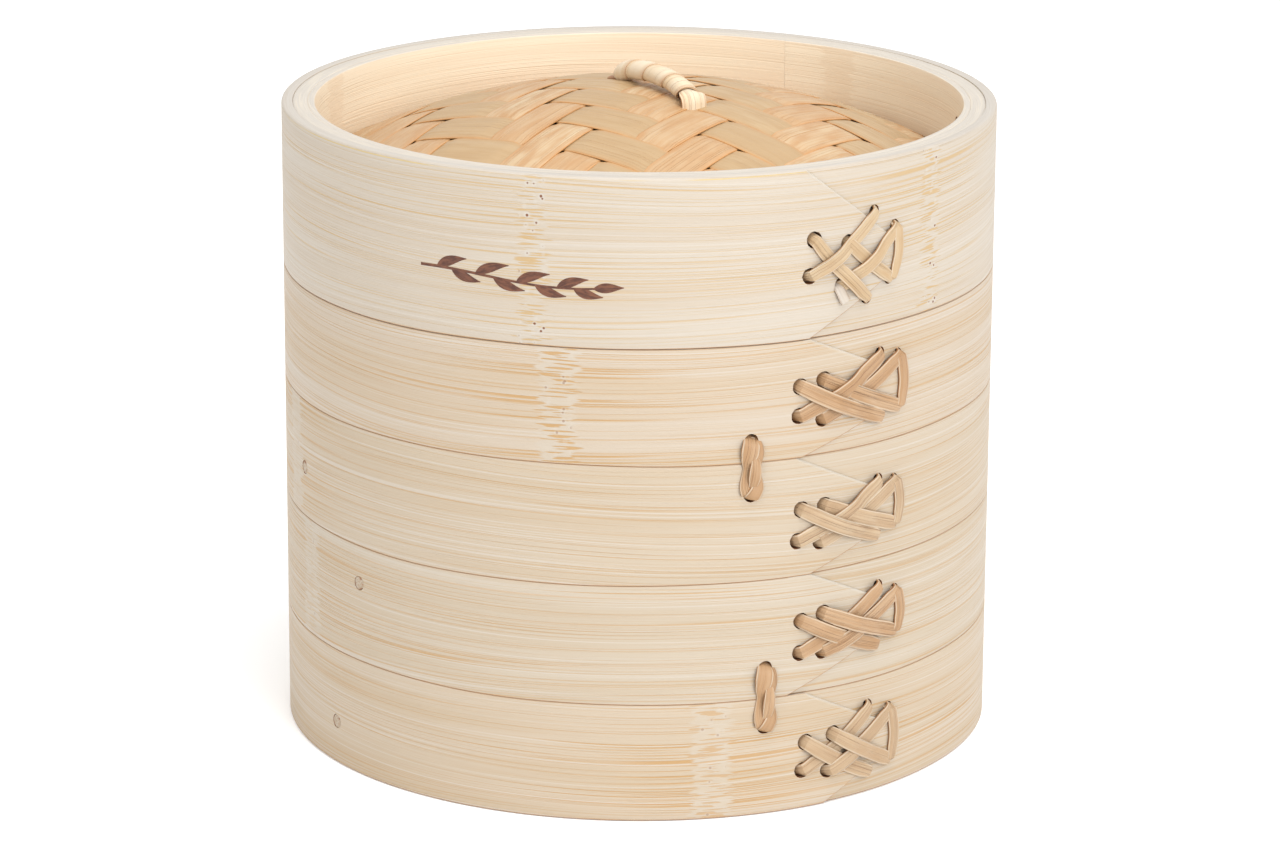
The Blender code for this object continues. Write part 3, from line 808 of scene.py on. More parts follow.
def make_hoop(hoop, drilled):
    """One hoop's strip, lapped, cut to a point and drilled. Returns the height of its lower edge."""
    base, top = (corner.z for corner in node_box(hoop.node))
    is_lid = hoop.body == "lid"
    if not is_lid:
        top = next_base(top) - (LID_SEAM if hoop.name == "upper_top" else SEAM)
    cut_end = hoop.tip - min(hoop.upper_cut[0], hoop.lower_cut[0])
    skin = Skin(shift=(hoop.seed * 11.0, 0.0))
    rings, along = [], runs(hoop)
    for run in along:
        arc = hoop.tip - run
        angle = arc_angle(arc)
        inner, outer = hoop_radii(run)
        low = base + seam_wobble(base, angle)
        high = top + (lid_rise(angle) if is_lid else seam_wobble(top, angle))
        rounding, slope = 0.35 + 0.2 * lid_rise(angle) if is_lid else 0.22, 1.0
        if run < cut_end:
            high = min(high, base + cut_height(hoop.upper_cut, arc, high - base, hoop.holes["F"][1] - 2.0))
            low = max(low, base + cut_height(hoop.lower_cut, arc, low - base, hoop.holes["H"][1] + 0.9))
        if arc > hoop.upper_cut[0]:
            rounding, slope = 0.62, 1.4
        section = strip_section(inner, outer, low, high, (rounding, 0.12, 0.15, 0.22), slope)
        rings.append(bent(section, angle))
    skin.loft(rings, along)

    node_runs = [hoop.tip - arc_of(angle) for angle in hoop.nodes]
    shown = [(run + AROUND if run < 0 else run) + skin.shift[0] for run in node_runs]
    material = bamboo(hoop.node + "_bamboo", hoop.tones, hoop.seed, shown, skin.shift[0] + cut_end)
    obj = skin.build(hoop.node + "_strip", [material, drilled])

    rods = []
    for name, (arc, height) in hoop.holes.items():
        radius = LEFT_HOLE if name in "ABCD" else RIGHT_HOLE
        rods.append(wall_rod(HOOP_WALL, arc_angle(arc), base + height, radius))
    for node in hoop.rods:
        rods.append(wall_rod(HOOP_WALL, *node_place(node), PEG_HOLE))
    for node in TIES:
        angle, *heights = tie_holes(node)
        rods += [wall_rod(HOOP_WALL, angle, height, TIE_HOLE) for height in heights if base < height < top]
    cut_holes(obj, rods, ragged=0.035, seed=int(hoop.seed))
    hand_over(obj, hoop.body, "hoop_bamboo", hoop.node)
    return base


# ---- Lacings and ties


def on_hoop(arc, height, lift):
    return polar(OUTER + lift, arc_angle(arc), height)


def crossing(a, b, c, d):
    """Where a strand a-b crosses c-d, as its share of a-b and the sine of the angle between them."""
    r, s = b - a, d - c
    cross = r.x * s.y - r.y * s.x
    share = ((c.x - a.x) * s.y - (c.y - a.y) * s.x) / cross
    return share, abs(cross) / (r.length * s.length)


# The strands by the holes they join, and how far the middle of each strays sideways
BOWS = {"CE": -0.95, "DF": -0.75, "AG": -0.55, "BH": -0.3}


def strand(start, end, bumps, base, bow, width, past=(LEFT_PAST, RIGHT_PAST)):
    """Rows of a strand from hole to hole: out of one, over what lies beneath it, and down the other. It
    reaches some way past the middle of either hole. A hole at the right goes through the strip below the
    pointed end. A bump is (middle, half length) along the strand."""
    right_end = past[1] == RIGHT_PAST
    run = end - start
    length = run.length
    along = run / length
    side = Vector((-along.y, along.x))
    count = max(18, int(length / 0.55))
    rows = []
    for step in range(count + 1):
        place = blend(-past[0], length + past[1], step / count)
        to_end = min(place + past[0], length + past[1] - place) - 0.35
        dive = smooth(to_end, 0.75, -0.35)
        sink = 0.6 * FLAP_THICKNESS * smooth(place, length - 1.8, length + 0.4) if right_end else 0.0
        lift = LACE_REST + 0.20 * smooth(to_end, 3.2, 1.2) - sink - 2.3 * dive
        for middle, half in bumps:
            lift += LACE_STEP * smooth(abs(place - middle), half + 4.2, half - 0.4)
        spot = start + along * place + side * bow * sin(pi * min(1, max(0, place / length)))
        centre = on_hoop(spot.x, base + spot.y, lift)
        out = on_hoop(spot.x, base + spot.y, lift + 1) - centre
        narrow = 0.4 * dive
        pinch = (0.7 if place > length / 2 else 0.3) * smooth(to_end, 4.0, 0.8)
        rows.append((centre, out, width - narrow - pinch, 0.05 + 0.22 * smooth(to_end, 1.6, 0.0)))
    return rows


# The lid lacing's frayed end beside hole D, as (arc, height, lift)
FRAYED_END = ((-1.3, 0.7, -1.8), (-0.9, 0.0, 0.1), (-0.5, -1.2, 0.75), (0.1, -2.4, 0.75), (0.6, -3.4, 1.0))


def add_lacing(hoop, base, material, frayed, seed):
    """The strip that closes a hoop: crossing strands, one down the pointed end, and the runs inside."""
    pick = random.Random(seed)
    spots = {name: Vector(place) for name, place in hoop.holes.items()}
    ends = {name: (spots[name[0]], spots[name[1]]) for name in BOWS}
    skin = Skin()
    width = LID_LACE_WIDTH if hoop.body == "lid" else LACE_WIDTH
    for number, (name, (start, end)) in enumerate(ends.items()):
        bumps = []
        for other in hoop.over.get(name, ()):
            share, sine = crossing(start, end, *ends[other])
            bumps.append(((end - start).length * share, width / 2 / max(0.5, sine)))
        skin.tone = pick.uniform(0.0, 0.7)
        skin.shift = (number * 61.0 + seed * 17.0, number * 13.0)
        add_ribbon(skin, strand(start, end, bumps, base, BOWS[name], width), LACE_THICKNESS)

    skin.shift = (seed * 23.0, 77.0)
    skin.tone = pick.uniform(0.2, 0.6)
    add_ribbon(skin, strand(spots["F"], spots["H"], [], base, 1.1, 0.9 * width, (1.0, 1.0)), LACE_THICKNESS)

    if hoop.body == "lid":
        skin.slot = 1
        rows = []
        for step in range(13):
            x, y, lift = through(FRAYED_END, step / 12)
            point = on_hoop(spots["D"].x + x, base + spots["D"].y + y, lift)
            rows.append((point, outward(point), 2.3, 0.25))
        add_ribbon(skin, rows, 0.4)
        skin.slot = 0

    for top, bottom in (("A", "C"), ("B", "D"), ("E", "G")):
        run = spots[bottom] - spots[top]
        rows = []
        for step in range(7):
            spot = spots[top] + run * (step / 6)
            point = polar(HOOP_INNER + 0.55, arc_angle(spot.x), base + spot.y)
            rows.append((point, outward(point), 2.6, 0.0))
        add_ribbon(skin, rows, 0.5)
    obj = skin.build(f"{hoop.name}_lacing_strips", [material, frayed], sharp=42)
    hand_over(obj, hoop.body, "lacing_strip", f"{hoop.name}_lacing")


# A tie's strands as (depth below its upper hole, place to the right, lift off the hoop, width, lean)
TIE_STRANDS = (
    ((-0.9, 0.1, -1.6, 2.4, 0.0), (0.3, -0.2, 0.6, 3.6, 0.0), (2.4, -0.55, 1.05, 3.8, -0.05),
     (4.4, -0.95, 0.9, 2.8, -0.2), (6.2, -1.0, 0.45, 1.8, -0.3), (8.2, -1.25, 0.4, 1.9, -0.2),
     (10.2, -1.35, 0.6, 2.4, -0.2), (12.0, -1.0, 0.6, 2.6, -0.1), (13.6, -0.4, -1.6, 2.0, 0.0)),
    ((-0.6, 0.8, -1.6, 1.8, 0.0), (0.8, 1.25, 0.35, 2.3, 0.1), (2.8, 1.5, 0.65, 2.5, 0.3),
     (4.8, 1.3, 0.7, 2.0, 0.4), (6.8, 1.1, 0.35, 1.6, 0.2), (8.8, 1.35, 0.45, 2.0, 0.3),
     (10.6, 1.25, 0.9, 2.8, 0.2), (12.1, 0.5, 1.2, 3.1, 0.1), (13.2, -0.1, 0.6, 2.9, 0.0),
     (13.9, -0.3, -1.6, 2.2, 0.0)),
    ((3.0, 0.45, 0.35, 0.9, 0.0), (4.4, 0.6, 1.2, 1.9, 0.1), (6.2, 0.5, 1.6, 2.6, 0.1),
     (8.2, 0.35, 1.5, 2.6, 0.0), (10.0, 0.15, 1.1, 2.0, 0.0), (11.6, -0.1, 0.5, 1.2, 0.0)),
)
TIE_TONES = (0.5, 0.9, 0.0)


def add_tie(node, body, material, seed):
    """Two turns of strip over the seam, laid round a third."""
    angle, low, high = tie_holes(node)
    stretch = (high - low) / 12.7
    skin = Skin()
    for number, strand_rows in enumerate(TIE_STRANDS):
        rows = []
        for step in range(45):
            depth, side, lift, width, lean = through(strand_rows, step / 44)
            turn = arc_angle(arc_of(angle) + side)
            out = polar(1.0, turn, 0.0) + polar(0.8 * lean, turn + 90, 0.0)
            rows.append((polar(OUTER + lift, turn, high - depth * stretch), out, width, 0.14))
        skin.tone = TIE_TONES[number]
        skin.shift = (seed * 31.0 + number * 47.0, number * 9.0)
        add_ribbon(skin, rows, 0.55)

    inner = BAND_INNER - 0.9
    path = [polar(inner, angle, blend(low - 0.6, high + 0.6, step / 8)) for step in range(9)]
    skin.shift = (seed * 31.0 + 99.0, 31.0)
    add_ribbon(skin, [(point, -outward(point), 3.2, 0.1) for point in path], 0.6)
    for height in (low, high):
        leg = [polar(radius, angle, height) for radius in (inner - 0.2, 71.0, 73.5, OUTER - 0.6)]
        add_ribbon(skin, [(point, Vector((0, 0, 1)), 2.0, 0.0) for point in leg], 1.4)
    obj = skin.build(node + "_strips", [material], sharp=42)
    hand_over(obj, body, "lacing_strip", node)


# ---- Burned ornament


def burned_material():
    """Bamboo scorched brown, unevenly."""
    s = Shader("burned_bamboo")
    u, v, _ = s.fibre()
    patches = s.noise(u, v, 2.4, 1.1, 51.0, 2.0)
    fibres = s.noise(u, v, 9.0, 0.3, 54.0, 1.0)
    colour = s.mix(s.span(patches, 0.36, 0.64), srgb(96, 52, 36), srgb(138, 84, 58))
    colour = s.mix(s.span(fibres, 0.50, 0.72, 0.0, 0.5), colour, srgb(168, 112, 78))
    return s.finish(colour, s.span(fibres, 0.3, 0.7, 0.6, 0.75), fibres, 0.05)


# The sprig's leaves as (arc of the root, length, rise in degrees)
LEAVES = (
    (-43.0, 7.4, 34.0), (-39.5, 7.0, -30.0), (-34.0, 7.8, 32.0), (-30.0, 7.2, -32.0), (-25.0, 7.4, 30.0),
    (-21.0, 6.8, -30.0), (-16.5, 6.8, 30.0), (-13.0, 6.2, -27.0), (-9.0, 6.2, 6.0),
)


def stem_height(arc):
    return 13.2 + 0.9 * sin(arc / 9.0)


def add_sprig(material):
    """A sprig of leaves burned into the front of the lid's hoop."""
    base = node_box("lid_hoop")[0].z
    skin = Skin()

    def stroke(places):
        """A flat mark along (arc, height, width)."""
        rows = []
        for arc, height, width in places:
            point = on_hoop(arc, base + height, 0.0)
            rows.append((point, outward(point), width, 0.0))
        add_ribbon(skin, rows, 0.06)
        skin.shift = (skin.shift[0] + 37.0, skin.shift[1] + 11.0)

    stem = [(-47.0 + 38.5 * step / 30, 0.62 - 0.2 * step / 30) for step in range(31)]
    stroke([(arc, stem_height(arc), width) for arc, width in stem])
    for root, length, rise in LEAVES:
        places = []
        for step in range(15):
            share = step / 14
            turn = radians(rise * (1 - 0.45 * share))
            arc = root + length * share * cos(turn)
            height = stem_height(root) + length * share * sin(turn)
            places.append((arc, height, 0.16 + 1.9 * sin(pi * share ** 0.75) ** 1.2))
        stroke(places)
    obj = skin.build("lid_burned_sprig", [material])
    hand_over(obj, "lid", "hoop_bamboo", "lid_hoop")


# ---- Pegs


def add_peg(node, body, material):
    """A round peg with a slightly domed, sanded head. A basket's bottom pegs reach in under the floor."""
    angle, height = node_place(node)
    out = polar(1.0, angle, 0.0)
    side = polar(1.0, angle + 90, 0.0)
    inner = 66.0 if "bottom_peg" in node and body != "lid" else BAND_INNER - 0.1
    profile = (
        (inner, 1.25), (inner + 0.4, PEG_RADIUS), (OUTER - 0.22, PEG_RADIUS), (OUTER - 0.06, 1.42),
        (OUTER + 0.02, 1.25), (OUTER + 0.05, 0.8),
    )
    sides = 24
    skin = Skin(shift=(height * 3.0, angle))
    start = skin.point(out * inner + Vector((0, 0, height)))
    rings = []
    for reach, radius in profile:
        ring = []
        for k in range(sides):
            turn = 2 * pi * k / sides
            x, y = radius * cos(turn), radius * sin(turn)
            ring.append((skin.point(out * reach + side * x + Vector((0, 0, height + y))), (x, y)))
        rings.append(ring)
    end = skin.point(out * (OUTER + 0.06) + Vector((0, 0, height)))
    for k in range(sides):
        m = (k + 1) % sides
        first, last = rings[0], rings[-1]
        skin.face((start, first[m][0], first[k][0]), [(0, 0, 0), (*first[m][1], 0), (*first[k][1], 0)])
        for number, (near, far) in enumerate(zip(rings, rings[1:])):
            rim = 1.0 if number in (2, 3) else 0.0
            skin.face(
                (near[k][0], near[m][0], far[m][0], far[k][0]),
                [(*near[k][1], 1.0), (*near[m][1], 1.0), (*far[m][1], rim), (*far[k][1], rim)],
            )
        skin.face((last[k][0], last[m][0], end), [(*last[k][1], 0), (*last[m][1], 0), (0, 0, 0)])
    obj = skin.build(node + "_round", [material])
    hand_over(obj, body, "peg_bamboo", node)


# ---- Bands


BAND_EDGE = srgb(244, 234, 222)
BAND_JOINT = bowl(218, 180, 138)


def band_rings(skin, inner, outer, low, high, butt_angle, rounds, rise):
    """A flat strip bent to a ring, with a narrow butt joint at an angle. The rise lifts its upper edge."""
    gap = degrees(0.02 / outer)
    count = 200
    rings, along = [], []
    for step in range(count + 1):
        angle = butt_angle + gap + (360 - 2 * gap) * step / count
        rings.append(bent(strip_section(inner, outer, low, high + rise(angle), rounds), angle))
        along.append(radians(angle) * outer)
    skin.loft(rings, along)


def add_band(node, body, tones, seed, butts, nodes, drilled, rods, boxes=()):
    """An inner band of two laps: a thick outer one and a thin inner one."""
    low, high = node_box(node)
    on_top = node == "lid_top_band"

    def rise(angle):
        if on_top:
            return lid_rise(angle) * (1 - LID_BAND_STEP / 2) - 0.04
        return 0.05 * sin(radians(3 * angle))

    foot = low.z - (SHEET_SINK if on_top else 0.0)
    skin = Skin(shift=(0.0, seed * 3.0))
    band_rings(skin, BAND_SPLIT + 0.02, BAND_OUTER, foot, high.z, butts[0], (0.1, 0.08, 0.2, 0.2), rise)
    skin.shift = (0.0, seed * 3.0 + 90.0)
    band_rings(skin, BAND_INNER, BAND_SPLIT, foot, high.z - 0.02, butts[1], (0.06, 0.35, 0.2, 0.1), rise)
    material = bamboo(node + "_bamboo", tones, seed, [radians(angle) * BAND_SPLIT for angle in nodes])
    obj = skin.build(node + "_laps", [material, drilled])
    cut_holes(obj, rods, boxes)
    hand_over(obj, body, "band_bamboo", node)


def band_rods(*pegs):
    return [wall_rod(BAND_WALL, *node_place(peg), BAND_PEG_HOLE) for peg in pegs]


def add_basket_band(tier, drilled):
    """A basket's inner band, with the holes of its top pegs and ties and notches for its two long slats."""
    rods = band_rods(f"{tier}_top_peg_front", f"{tier}_top_peg_back")
    for tie in (f"{tier}_front_tie", f"{tier}_back_tie"):
        angle, *heights = tie_holes(tie)
        rods += [wall_rod(BAND_WALL, angle, height, TIE_HOLE) for height in heights]
    colours = (srgb(240, 222, 196), srgb(234, 212, 181), srgb(216, 172, 122), BAND_EDGE, BAND_JOINT)
    tones = Tones(*colours, lines=0.8)
    turn = Matrix.Rotation(slat_turn(tier), 4, "Z")
    notches = []
    for number in (4, 5):
        low, high = node_box(f"{tier}_slat_{number}")
        depth = high.z + 0.3 - (low.z - 20)
        middle = (low + high) / 2
        centre = Vector((middle.x, middle.y, high.z + 0.3 - depth / 2))
        notch = Matrix.Diagonal((3 * OUTER, SLAT_WIDTH + 0.6, depth, 1))
        notches.append(Matrix.Translation(centre) @ turn @ notch)
    node, body = f"{tier}_inner_band", f"{tier}_basket"
    seed = 211.0 if tier == "lower" else 233.0
    add_band(node, body, tones, seed, (200.0, 150.0), (430.0, 250.0), drilled, rods, notches)


# ---- Floors


def add_slat(node, body, material, seed):
    """A floor slat with rounded edges, on the outline of its CAD solid."""
    source = frame["nodes"][node]
    bm = bmesh.new()
    bm.from_mesh(source.data)
    bmesh.ops.remove_doubles(bm, verts=bm.verts, dist=1e-6)
    bmesh.ops.dissolve_limit(bm, angle_limit=radians(2), verts=bm.verts, edges=bm.edges)
    edges = [edge for edge in bm.edges if len(edge.link_faces) == 2 and edge.calc_face_angle() > radians(50)]
    bmesh.ops.bevel(
        bm, geom=edges, offset=0.7 * MM, segments=3, profile=0.6, affect="EDGES", clamp_overlap=True
    )
    low, high = node_box(node)
    turn = slat_turn(node.split("_")[0])
    fibre = bm.loops.layers.float_vector.new("fibre")
    edge_value = bm.loops.layers.float.new("edge")
    for face in bm.faces:
        for loop in face.loops:
            place = Matrix.Rotation(-turn, 3, "Z") @ (loop.vert.co / MM)
            loop[fibre] = (place.x + seed * 40, place.y + 0.5 * (place.z - low.z), 0.1 * (seed % 7))
            loop[edge_value] = 0.0
    mesh = bpy.data.meshes.new(node + "_wood")
    bm.to_mesh(mesh)
    bm.free()
    mesh.materials.append(material)
    mesh.shade_smooth()
    mesh.set_sharp_from_angle(angle=radians(38))
    hand_over(add_object(node + "_wood", mesh), body, "slat_bamboo", node)


def slat_turn(tier):
    """The direction in which a floor's slats run, square to its dowels."""
    across = [vert.co for vert in frame["nodes"][f"{tier}_dowel_1"].data.vertices]
    first = max(across, key=lambda co: co.xy.length)
    second = max(across, key=lambda co: (co.xy - first.xy).length)
    run = first.xy - second.xy
    return atan2(run.y, run.x) + pi / 2


# ---- Woven dome


# The weave's two sets of strips as (turn, side to which they are counted, pitch, phase)
WEAVE_SETS = ((radians(56.0), -1, 9.65, -13.2), (radians(-34.5), 1, 11.2, -3.4))
LINER_PITCH = 6.2
LINER_STEPS = even_steps(4)
WRAP_STEPS = even_steps(7)


def dome_height(x, y, edge=SHEET_EDGE):
    """Height of the dome's upper face: a spherical cap with a flat rim at the edge's height."""
    radius = min(DOME_RADIUS, hypot(x, y))
    rise = DOME_RISE - (DOME_SPHERE - sqrt(DOME_SPHERE**2 - radius**2))
    return edge + rise


def two_is_over(one, two):
    """A 2/2 twill: whether strip number two of the second set passes over strip number one of the first."""
    return (one + two + 1) % 4 in (0, 1)


def twill_lift(place, phase, pitch, over):
    """How high a strip rides at a place, from -1 to 1. Over tells if it passes over a crossing strip."""
    number = (place - phase) / pitch
    here = int(number // 1)
    share = number - here
    beside, reach = (here - 1, share) if share < 0.5 else (here + 1, 1 - share)
    level, other = (1.0 if over(crossed) else -1.0 for crossed in (here, beside))
    return blend((level + other) / 2, level, smooth(reach * pitch, 0.0, 3.0))


def add_sheet(skin, numbers, pitch, phase, least, spacing, pick, make_ring):
    """Every strip of one direction in a round sheet, without those whose half length squared is under the
    least. make_ring turns a strip's number and centre line into a function that gives its section at a place
    along it."""
    for number in numbers:
        centre = phase + (number + 0.5) * pitch
        half = WEAVE_RADIUS**2 - centre**2
        if half < least:
            continue
        half = sqrt(half)
        skin.tone = pick.uniform(0.0, 1.0)
        skin.shift = (pick.uniform(0, 900), pick.uniform(0, 900))
        section = make_ring(number, centre)
        count = ceil(2 * half / spacing)
        along = [-half + 2 * half * step / count for step in range(count + 1)]
        skin.loft([section(place) for place in along], along)


def add_weave_set(skin, first, pick):
    """All strips of one direction, each a thin crowned ribbon that rises and dips over the dome."""
    (turn, side, pitch, phase), (_, _, cross_pitch, cross_phase) = WEAVE_SETS if first else WEAVE_SETS[::-1]
    along = Vector((cos(turn), sin(turn)))
    across = Vector((-along.y, along.x)) * side

    def make_ring(number, centre):
        lean = pick.uniform(-0.12, 0.12)

        def over(other):
            return not two_is_over(number, other) if first else two_is_over(other, number)

        def section(place):
            level = twill_lift(place, cross_phase, cross_pitch, over)
            high = max(0, level)
            width = pitch - 0.06 - 0.75 * (1 - abs(level)) ** 2 - 0.2 * (level < 0)
            calm = smooth(abs(hypot(place, centre)), DOME_RADIUS + 2.5, DOME_RADIUS - 6)
            body_lift = (0.34 * level + 0.10 * high - 0.22) * calm - 0.3 * (1 - calm)
            ring = []
            for face, share, edge in both_faces(STRIP_STEPS):
                spot = along * place + across * (centre + share * width)
                tilt = lean * share * 2 * calm
                crown = -0.14 * (2 * share) ** 2 * (0.6 + 0.4 * high)
                sheet = 0.18 * face * (1 - 0.5 * (2 * abs(share)) ** 6)
                height = dome_height(spot.x, spot.y) + body_lift + tilt + crown * calm + sheet
                if spot.length > WEAVE_RADIUS:
                    spot = spot * (WEAVE_RADIUS / spot.length)
                ring.append((Vector((spot.x, spot.y, height)), share * width, share * width, edge))
            return ring

        return section

    numbers = range(int(-WEAVE_RADIUS // pitch) - 1, int(WEAVE_RADIUS // pitch) + 2)
    add_sheet(skin, numbers, pitch, phase, least=120, spacing=1.3, pick=pick, make_ring=make_ring)


def add_weave(pale, tan):
    """The dome's outer layer: a pale set of strips and a tan one across it."""
    pick = random.Random(41)
    for first, label, material in ((True, "first", pale), (False, "second", tan)):
        skin = Skin()
        add_weave_set(skin, first, pick)
        obj = skin.build(f"lid_weave_{label}_strips", [material], sharp=50)
        hand_over(obj, "lid", "weave_strip", "lid_weave")


def add_liner(material):
    """The dome's finer inner layer, a plain weave."""
    skin = Skin()
    pick = random.Random(77)
    edge_height = node_box("lid_liner")[0].z + 0.8
    for turned in (False, True):

        def make_ring(number, centre, turned=turned):
            def section(place):
                wave = cos(pi * (place / LINER_PITCH + number + turned))
                calm = smooth(hypot(place, centre), DOME_RADIUS + 2.0, DOME_RADIUS - 4)
                ring = []
                for face, share, edge in both_faces(LINER_STEPS):
                    x, y = place, centre + share * (LINER_PITCH - 0.5)
                    if turned:
                        x, y = y, x
                    reach = hypot(x, y)
                    scale = min(1.0, WEAVE_RADIUS / reach) if reach else 1.0
                    height = dome_height(x, y, edge_height) - 0.4 + 0.2 * wave * calm + 0.13 * face
                    v = share * LINER_PITCH
                    ring.append((Vector((x * scale, y * scale, height)), v, v, edge))
                return ring

            return section

        add_sheet(
            skin, range(-12, 12), LINER_PITCH, 0.0, least=60, spacing=2.0, pick=pick, make_ring=make_ring
        )
    obj = skin.build("lid_liner_strips", [material], sharp=50)
    hand_over(obj, "lid", "liner_strip", "lid_liner")


# ---- Handle


def handle_point(angle, lift=0.0):
    """A point over the handle's arch at an angle from its back foot, and the outward direction there."""
    turn = radians(angle)
    point = Vector((-HANDLE_HALF_SPAN * cos(turn), 0.0, HANDLE_RISE * sin(turn)))
    out = Vector((-HANDLE_RISE * cos(turn), 0.0, HANDLE_HALF_SPAN * sin(turn))).normalized()
    return point + out * lift, out


def place_handle(vector):
    return HANDLE_CENTRE + Matrix.Rotation(HANDLE_TURN, 3, "Z") @ vector


def add_core(material):
    """A bundle of three round strips through the dome, with one frayed end at the back."""
    skin = Skin()
    sides = 10
    steps = 60
    for strand_number in range(3):
        rings = []
        for step in range(steps + 1):
            angle = -4 + 188 * step / steps
            end = min(180, max(0, angle))
            centre, out = handle_point(angle)
            if angle != end:
                centre = handle_point(end)[0] + Vector((0, 0, -abs(angle - end)))
            twist = radians(120 * strand_number + 1.6 * angle)
            middle = centre + (out * cos(twist) + HANDLE_SIDE * sin(twist)) * CORE_OFFSET
            ring = []
            for k in range(sides):
                turn = 2 * pi * k / sides
                position = middle + (out * cos(turn) + HANDLE_SIDE * sin(turn)) * CORE_STRAND_RADIUS
                ring.append((place_handle(position), k * 0.45, k * 0.45, 0.0))
            rings.append(ring)
        skin.shift = (strand_number * 71.0, strand_number * 5.0)
        skin.loft(rings, [step * 0.7 for step in range(steps + 1)])
    skin.shift = (240.0, 20.0)
    rows = []
    for step in range(7):
        point = handle_point(14)[0] + Vector((-0.55 * step, -0.9, -0.5 - 0.12 * step))
        rows.append((place_handle(point), Vector((0, -0.5, 0.9)), 1.5, 0.1))
    add_ribbon(skin, rows, 0.7)
    core = skin.build("handle_core_bundle", [material], sharp=60)
    hand_over(core, "handle", "handle_strip", "handle_core")


def winding_ring(share):
    """The winding's section at a share of its length. Each turn's far edge lies over the next turn."""
    turn = 2 * pi * WRAP_TURNS * share + 0.6
    middle = blend(WRAP_START, WRAP_END, share)
    width_angle = (WRAP_END - WRAP_START) / WRAP_TURNS * 1.3
    ring = []
    for face, across, edge in both_faces(WRAP_STEPS):
        centre, out = handle_point(middle + across * width_angle)
        radius = WRAP_RADIUS + 0.36 * (0.5 + across) + 0.10 * (1 - (2 * across) ** 2) + 0.22 * face
        position = centre + (out * cos(turn) + HANDLE_SIDE * sin(turn)) * radius
        ring.append((place_handle(position), across * 5.0, across * 5.0, edge))
    return ring


def add_wrap(material):
    """The strip wound round the bundle, and the wide strip over its front foot."""
    skin = Skin(tone=0.1)
    steps = int(WRAP_TURNS * 26)
    shares = [step / steps for step in range(steps + 1)]
    along = [share * WRAP_TURNS * 2 * pi * 1.9 for share in shares]
    skin.loft([winding_ring(share) for share in shares], along)

    skin.shift = (300.0, 40.0)
    rows = []
    for step in range(16):
        angle = 138 + 44 * step / 15
        point, out = handle_point(min(angle, 180), 1.1 + 1.1 * smooth(angle, 150, 170))
        point = point + Vector((0, -0.45 * smooth(angle, 148, 165), -0.6 * max(0, angle - 180)))
        centre = place_handle(point)
        width = 2.8 + 3.2 * smooth(angle, 146, 168)
        rows.append((centre, place_handle(point + out) - centre, width, 0.8 - 0.4 * smooth(angle, 148, 168)))
    add_ribbon(skin, rows, 0.6)
    wrap = skin.build("handle_wrap_strip", [material], sharp=50)
    hand_over(wrap, "handle", "handle_strip", "handle_wrap")


# ---- Stage


def add_stage():
    """White paper under the steamer, a white surround and three soft lights."""
    paper = Shader("floor_paper")
    looks = (
        ("Base Color", (0.98, 0.98, 0.98, 1.0)), ("Roughness", 0.9), ("Specular IOR Level", 0.1),
        ("Emission Color", (1.0, 1.0, 1.0, 1.0)), ("Emission Strength", 0.1),
    )
    for setting, value in looks:
        paper.feed(paper.surface.inputs[setting], value)
    mesh = bpy.data.meshes.new("floor")
    reach = 6.0
    corners = [(-reach, -reach, 0), (reach, -reach, 0), (reach, reach, 0), (-reach, reach, 0)]
    mesh.from_pydata(corners, [], [(0, 1, 2, 3)])
    mesh.materials.append(paper.material)
    floor = add_object("floor", mesh)
    floor.location.z = -0.0002

    world = bpy.data.worlds.new("studio")
    world.use_nodes = True
    background = world.node_tree.nodes["Background"]
    background.inputs["Color"].default_value = (1.0, 1.0, 1.0, 1.0)
    background.inputs["Strength"].default_value = 0.84
    bpy.context.scene.world = world
    bpy.context.scene.view_settings.view_transform = "Standard"

    # (name, place in metres, size, power, colour)
    lights = (
        ("key", (0.95, -1.45, 0.85), 0.9, 18.5, (0.99, 1.0, 1.02)),
        ("fill", (-1.3, -0.9, 0.95), 1.2, 6.0, (1.0, 0.995, 0.985)),
        ("top", (0.25, -0.45, 1.6), 1.0, 14.0, (1.0, 1.0, 1.0)),
    )
    for name, place, size, power, colour in lights:
        light = bpy.data.lights.new(name, "AREA")
        light.size = size
        light.energy = power
        light.color = colour
        obj = add_object(name, light)
        obj.location = place
        obj.rotation_euler = (Vector((0, 0, 0.07)) - Vector(place)).to_track_quat("-Z", "Y").to_euler()


def add_camera():
    """A long lens in front of the steamer, looking down at it."""
    place = Vector((0.00053, -1.07845, 0.38469))
    target = Vector((0.00053, 0.0, 0.06229))
    roll = radians(0.29981)
    forward = (target - place).normalized()
    right = forward.cross(Vector((0, 0, 1))).normalized()
    up = right.cross(forward)
    tilted = right * cos(roll) + up * sin(roll)
    upright = up * cos(roll) - right * sin(roll)
    camera = bpy.data.cameras.new("camera")
    camera.sensor_width = 36.0
    camera.lens = 145.667
    camera.clip_start = 0.01
    obj = add_object("camera", camera)
    matrix = Matrix((tilted, upright, -forward)).transposed().to_4x4()
    obj.matrix_world = Matrix.Translation(place) @ matrix
    bpy.context.scene.camera = obj


# ---- Build

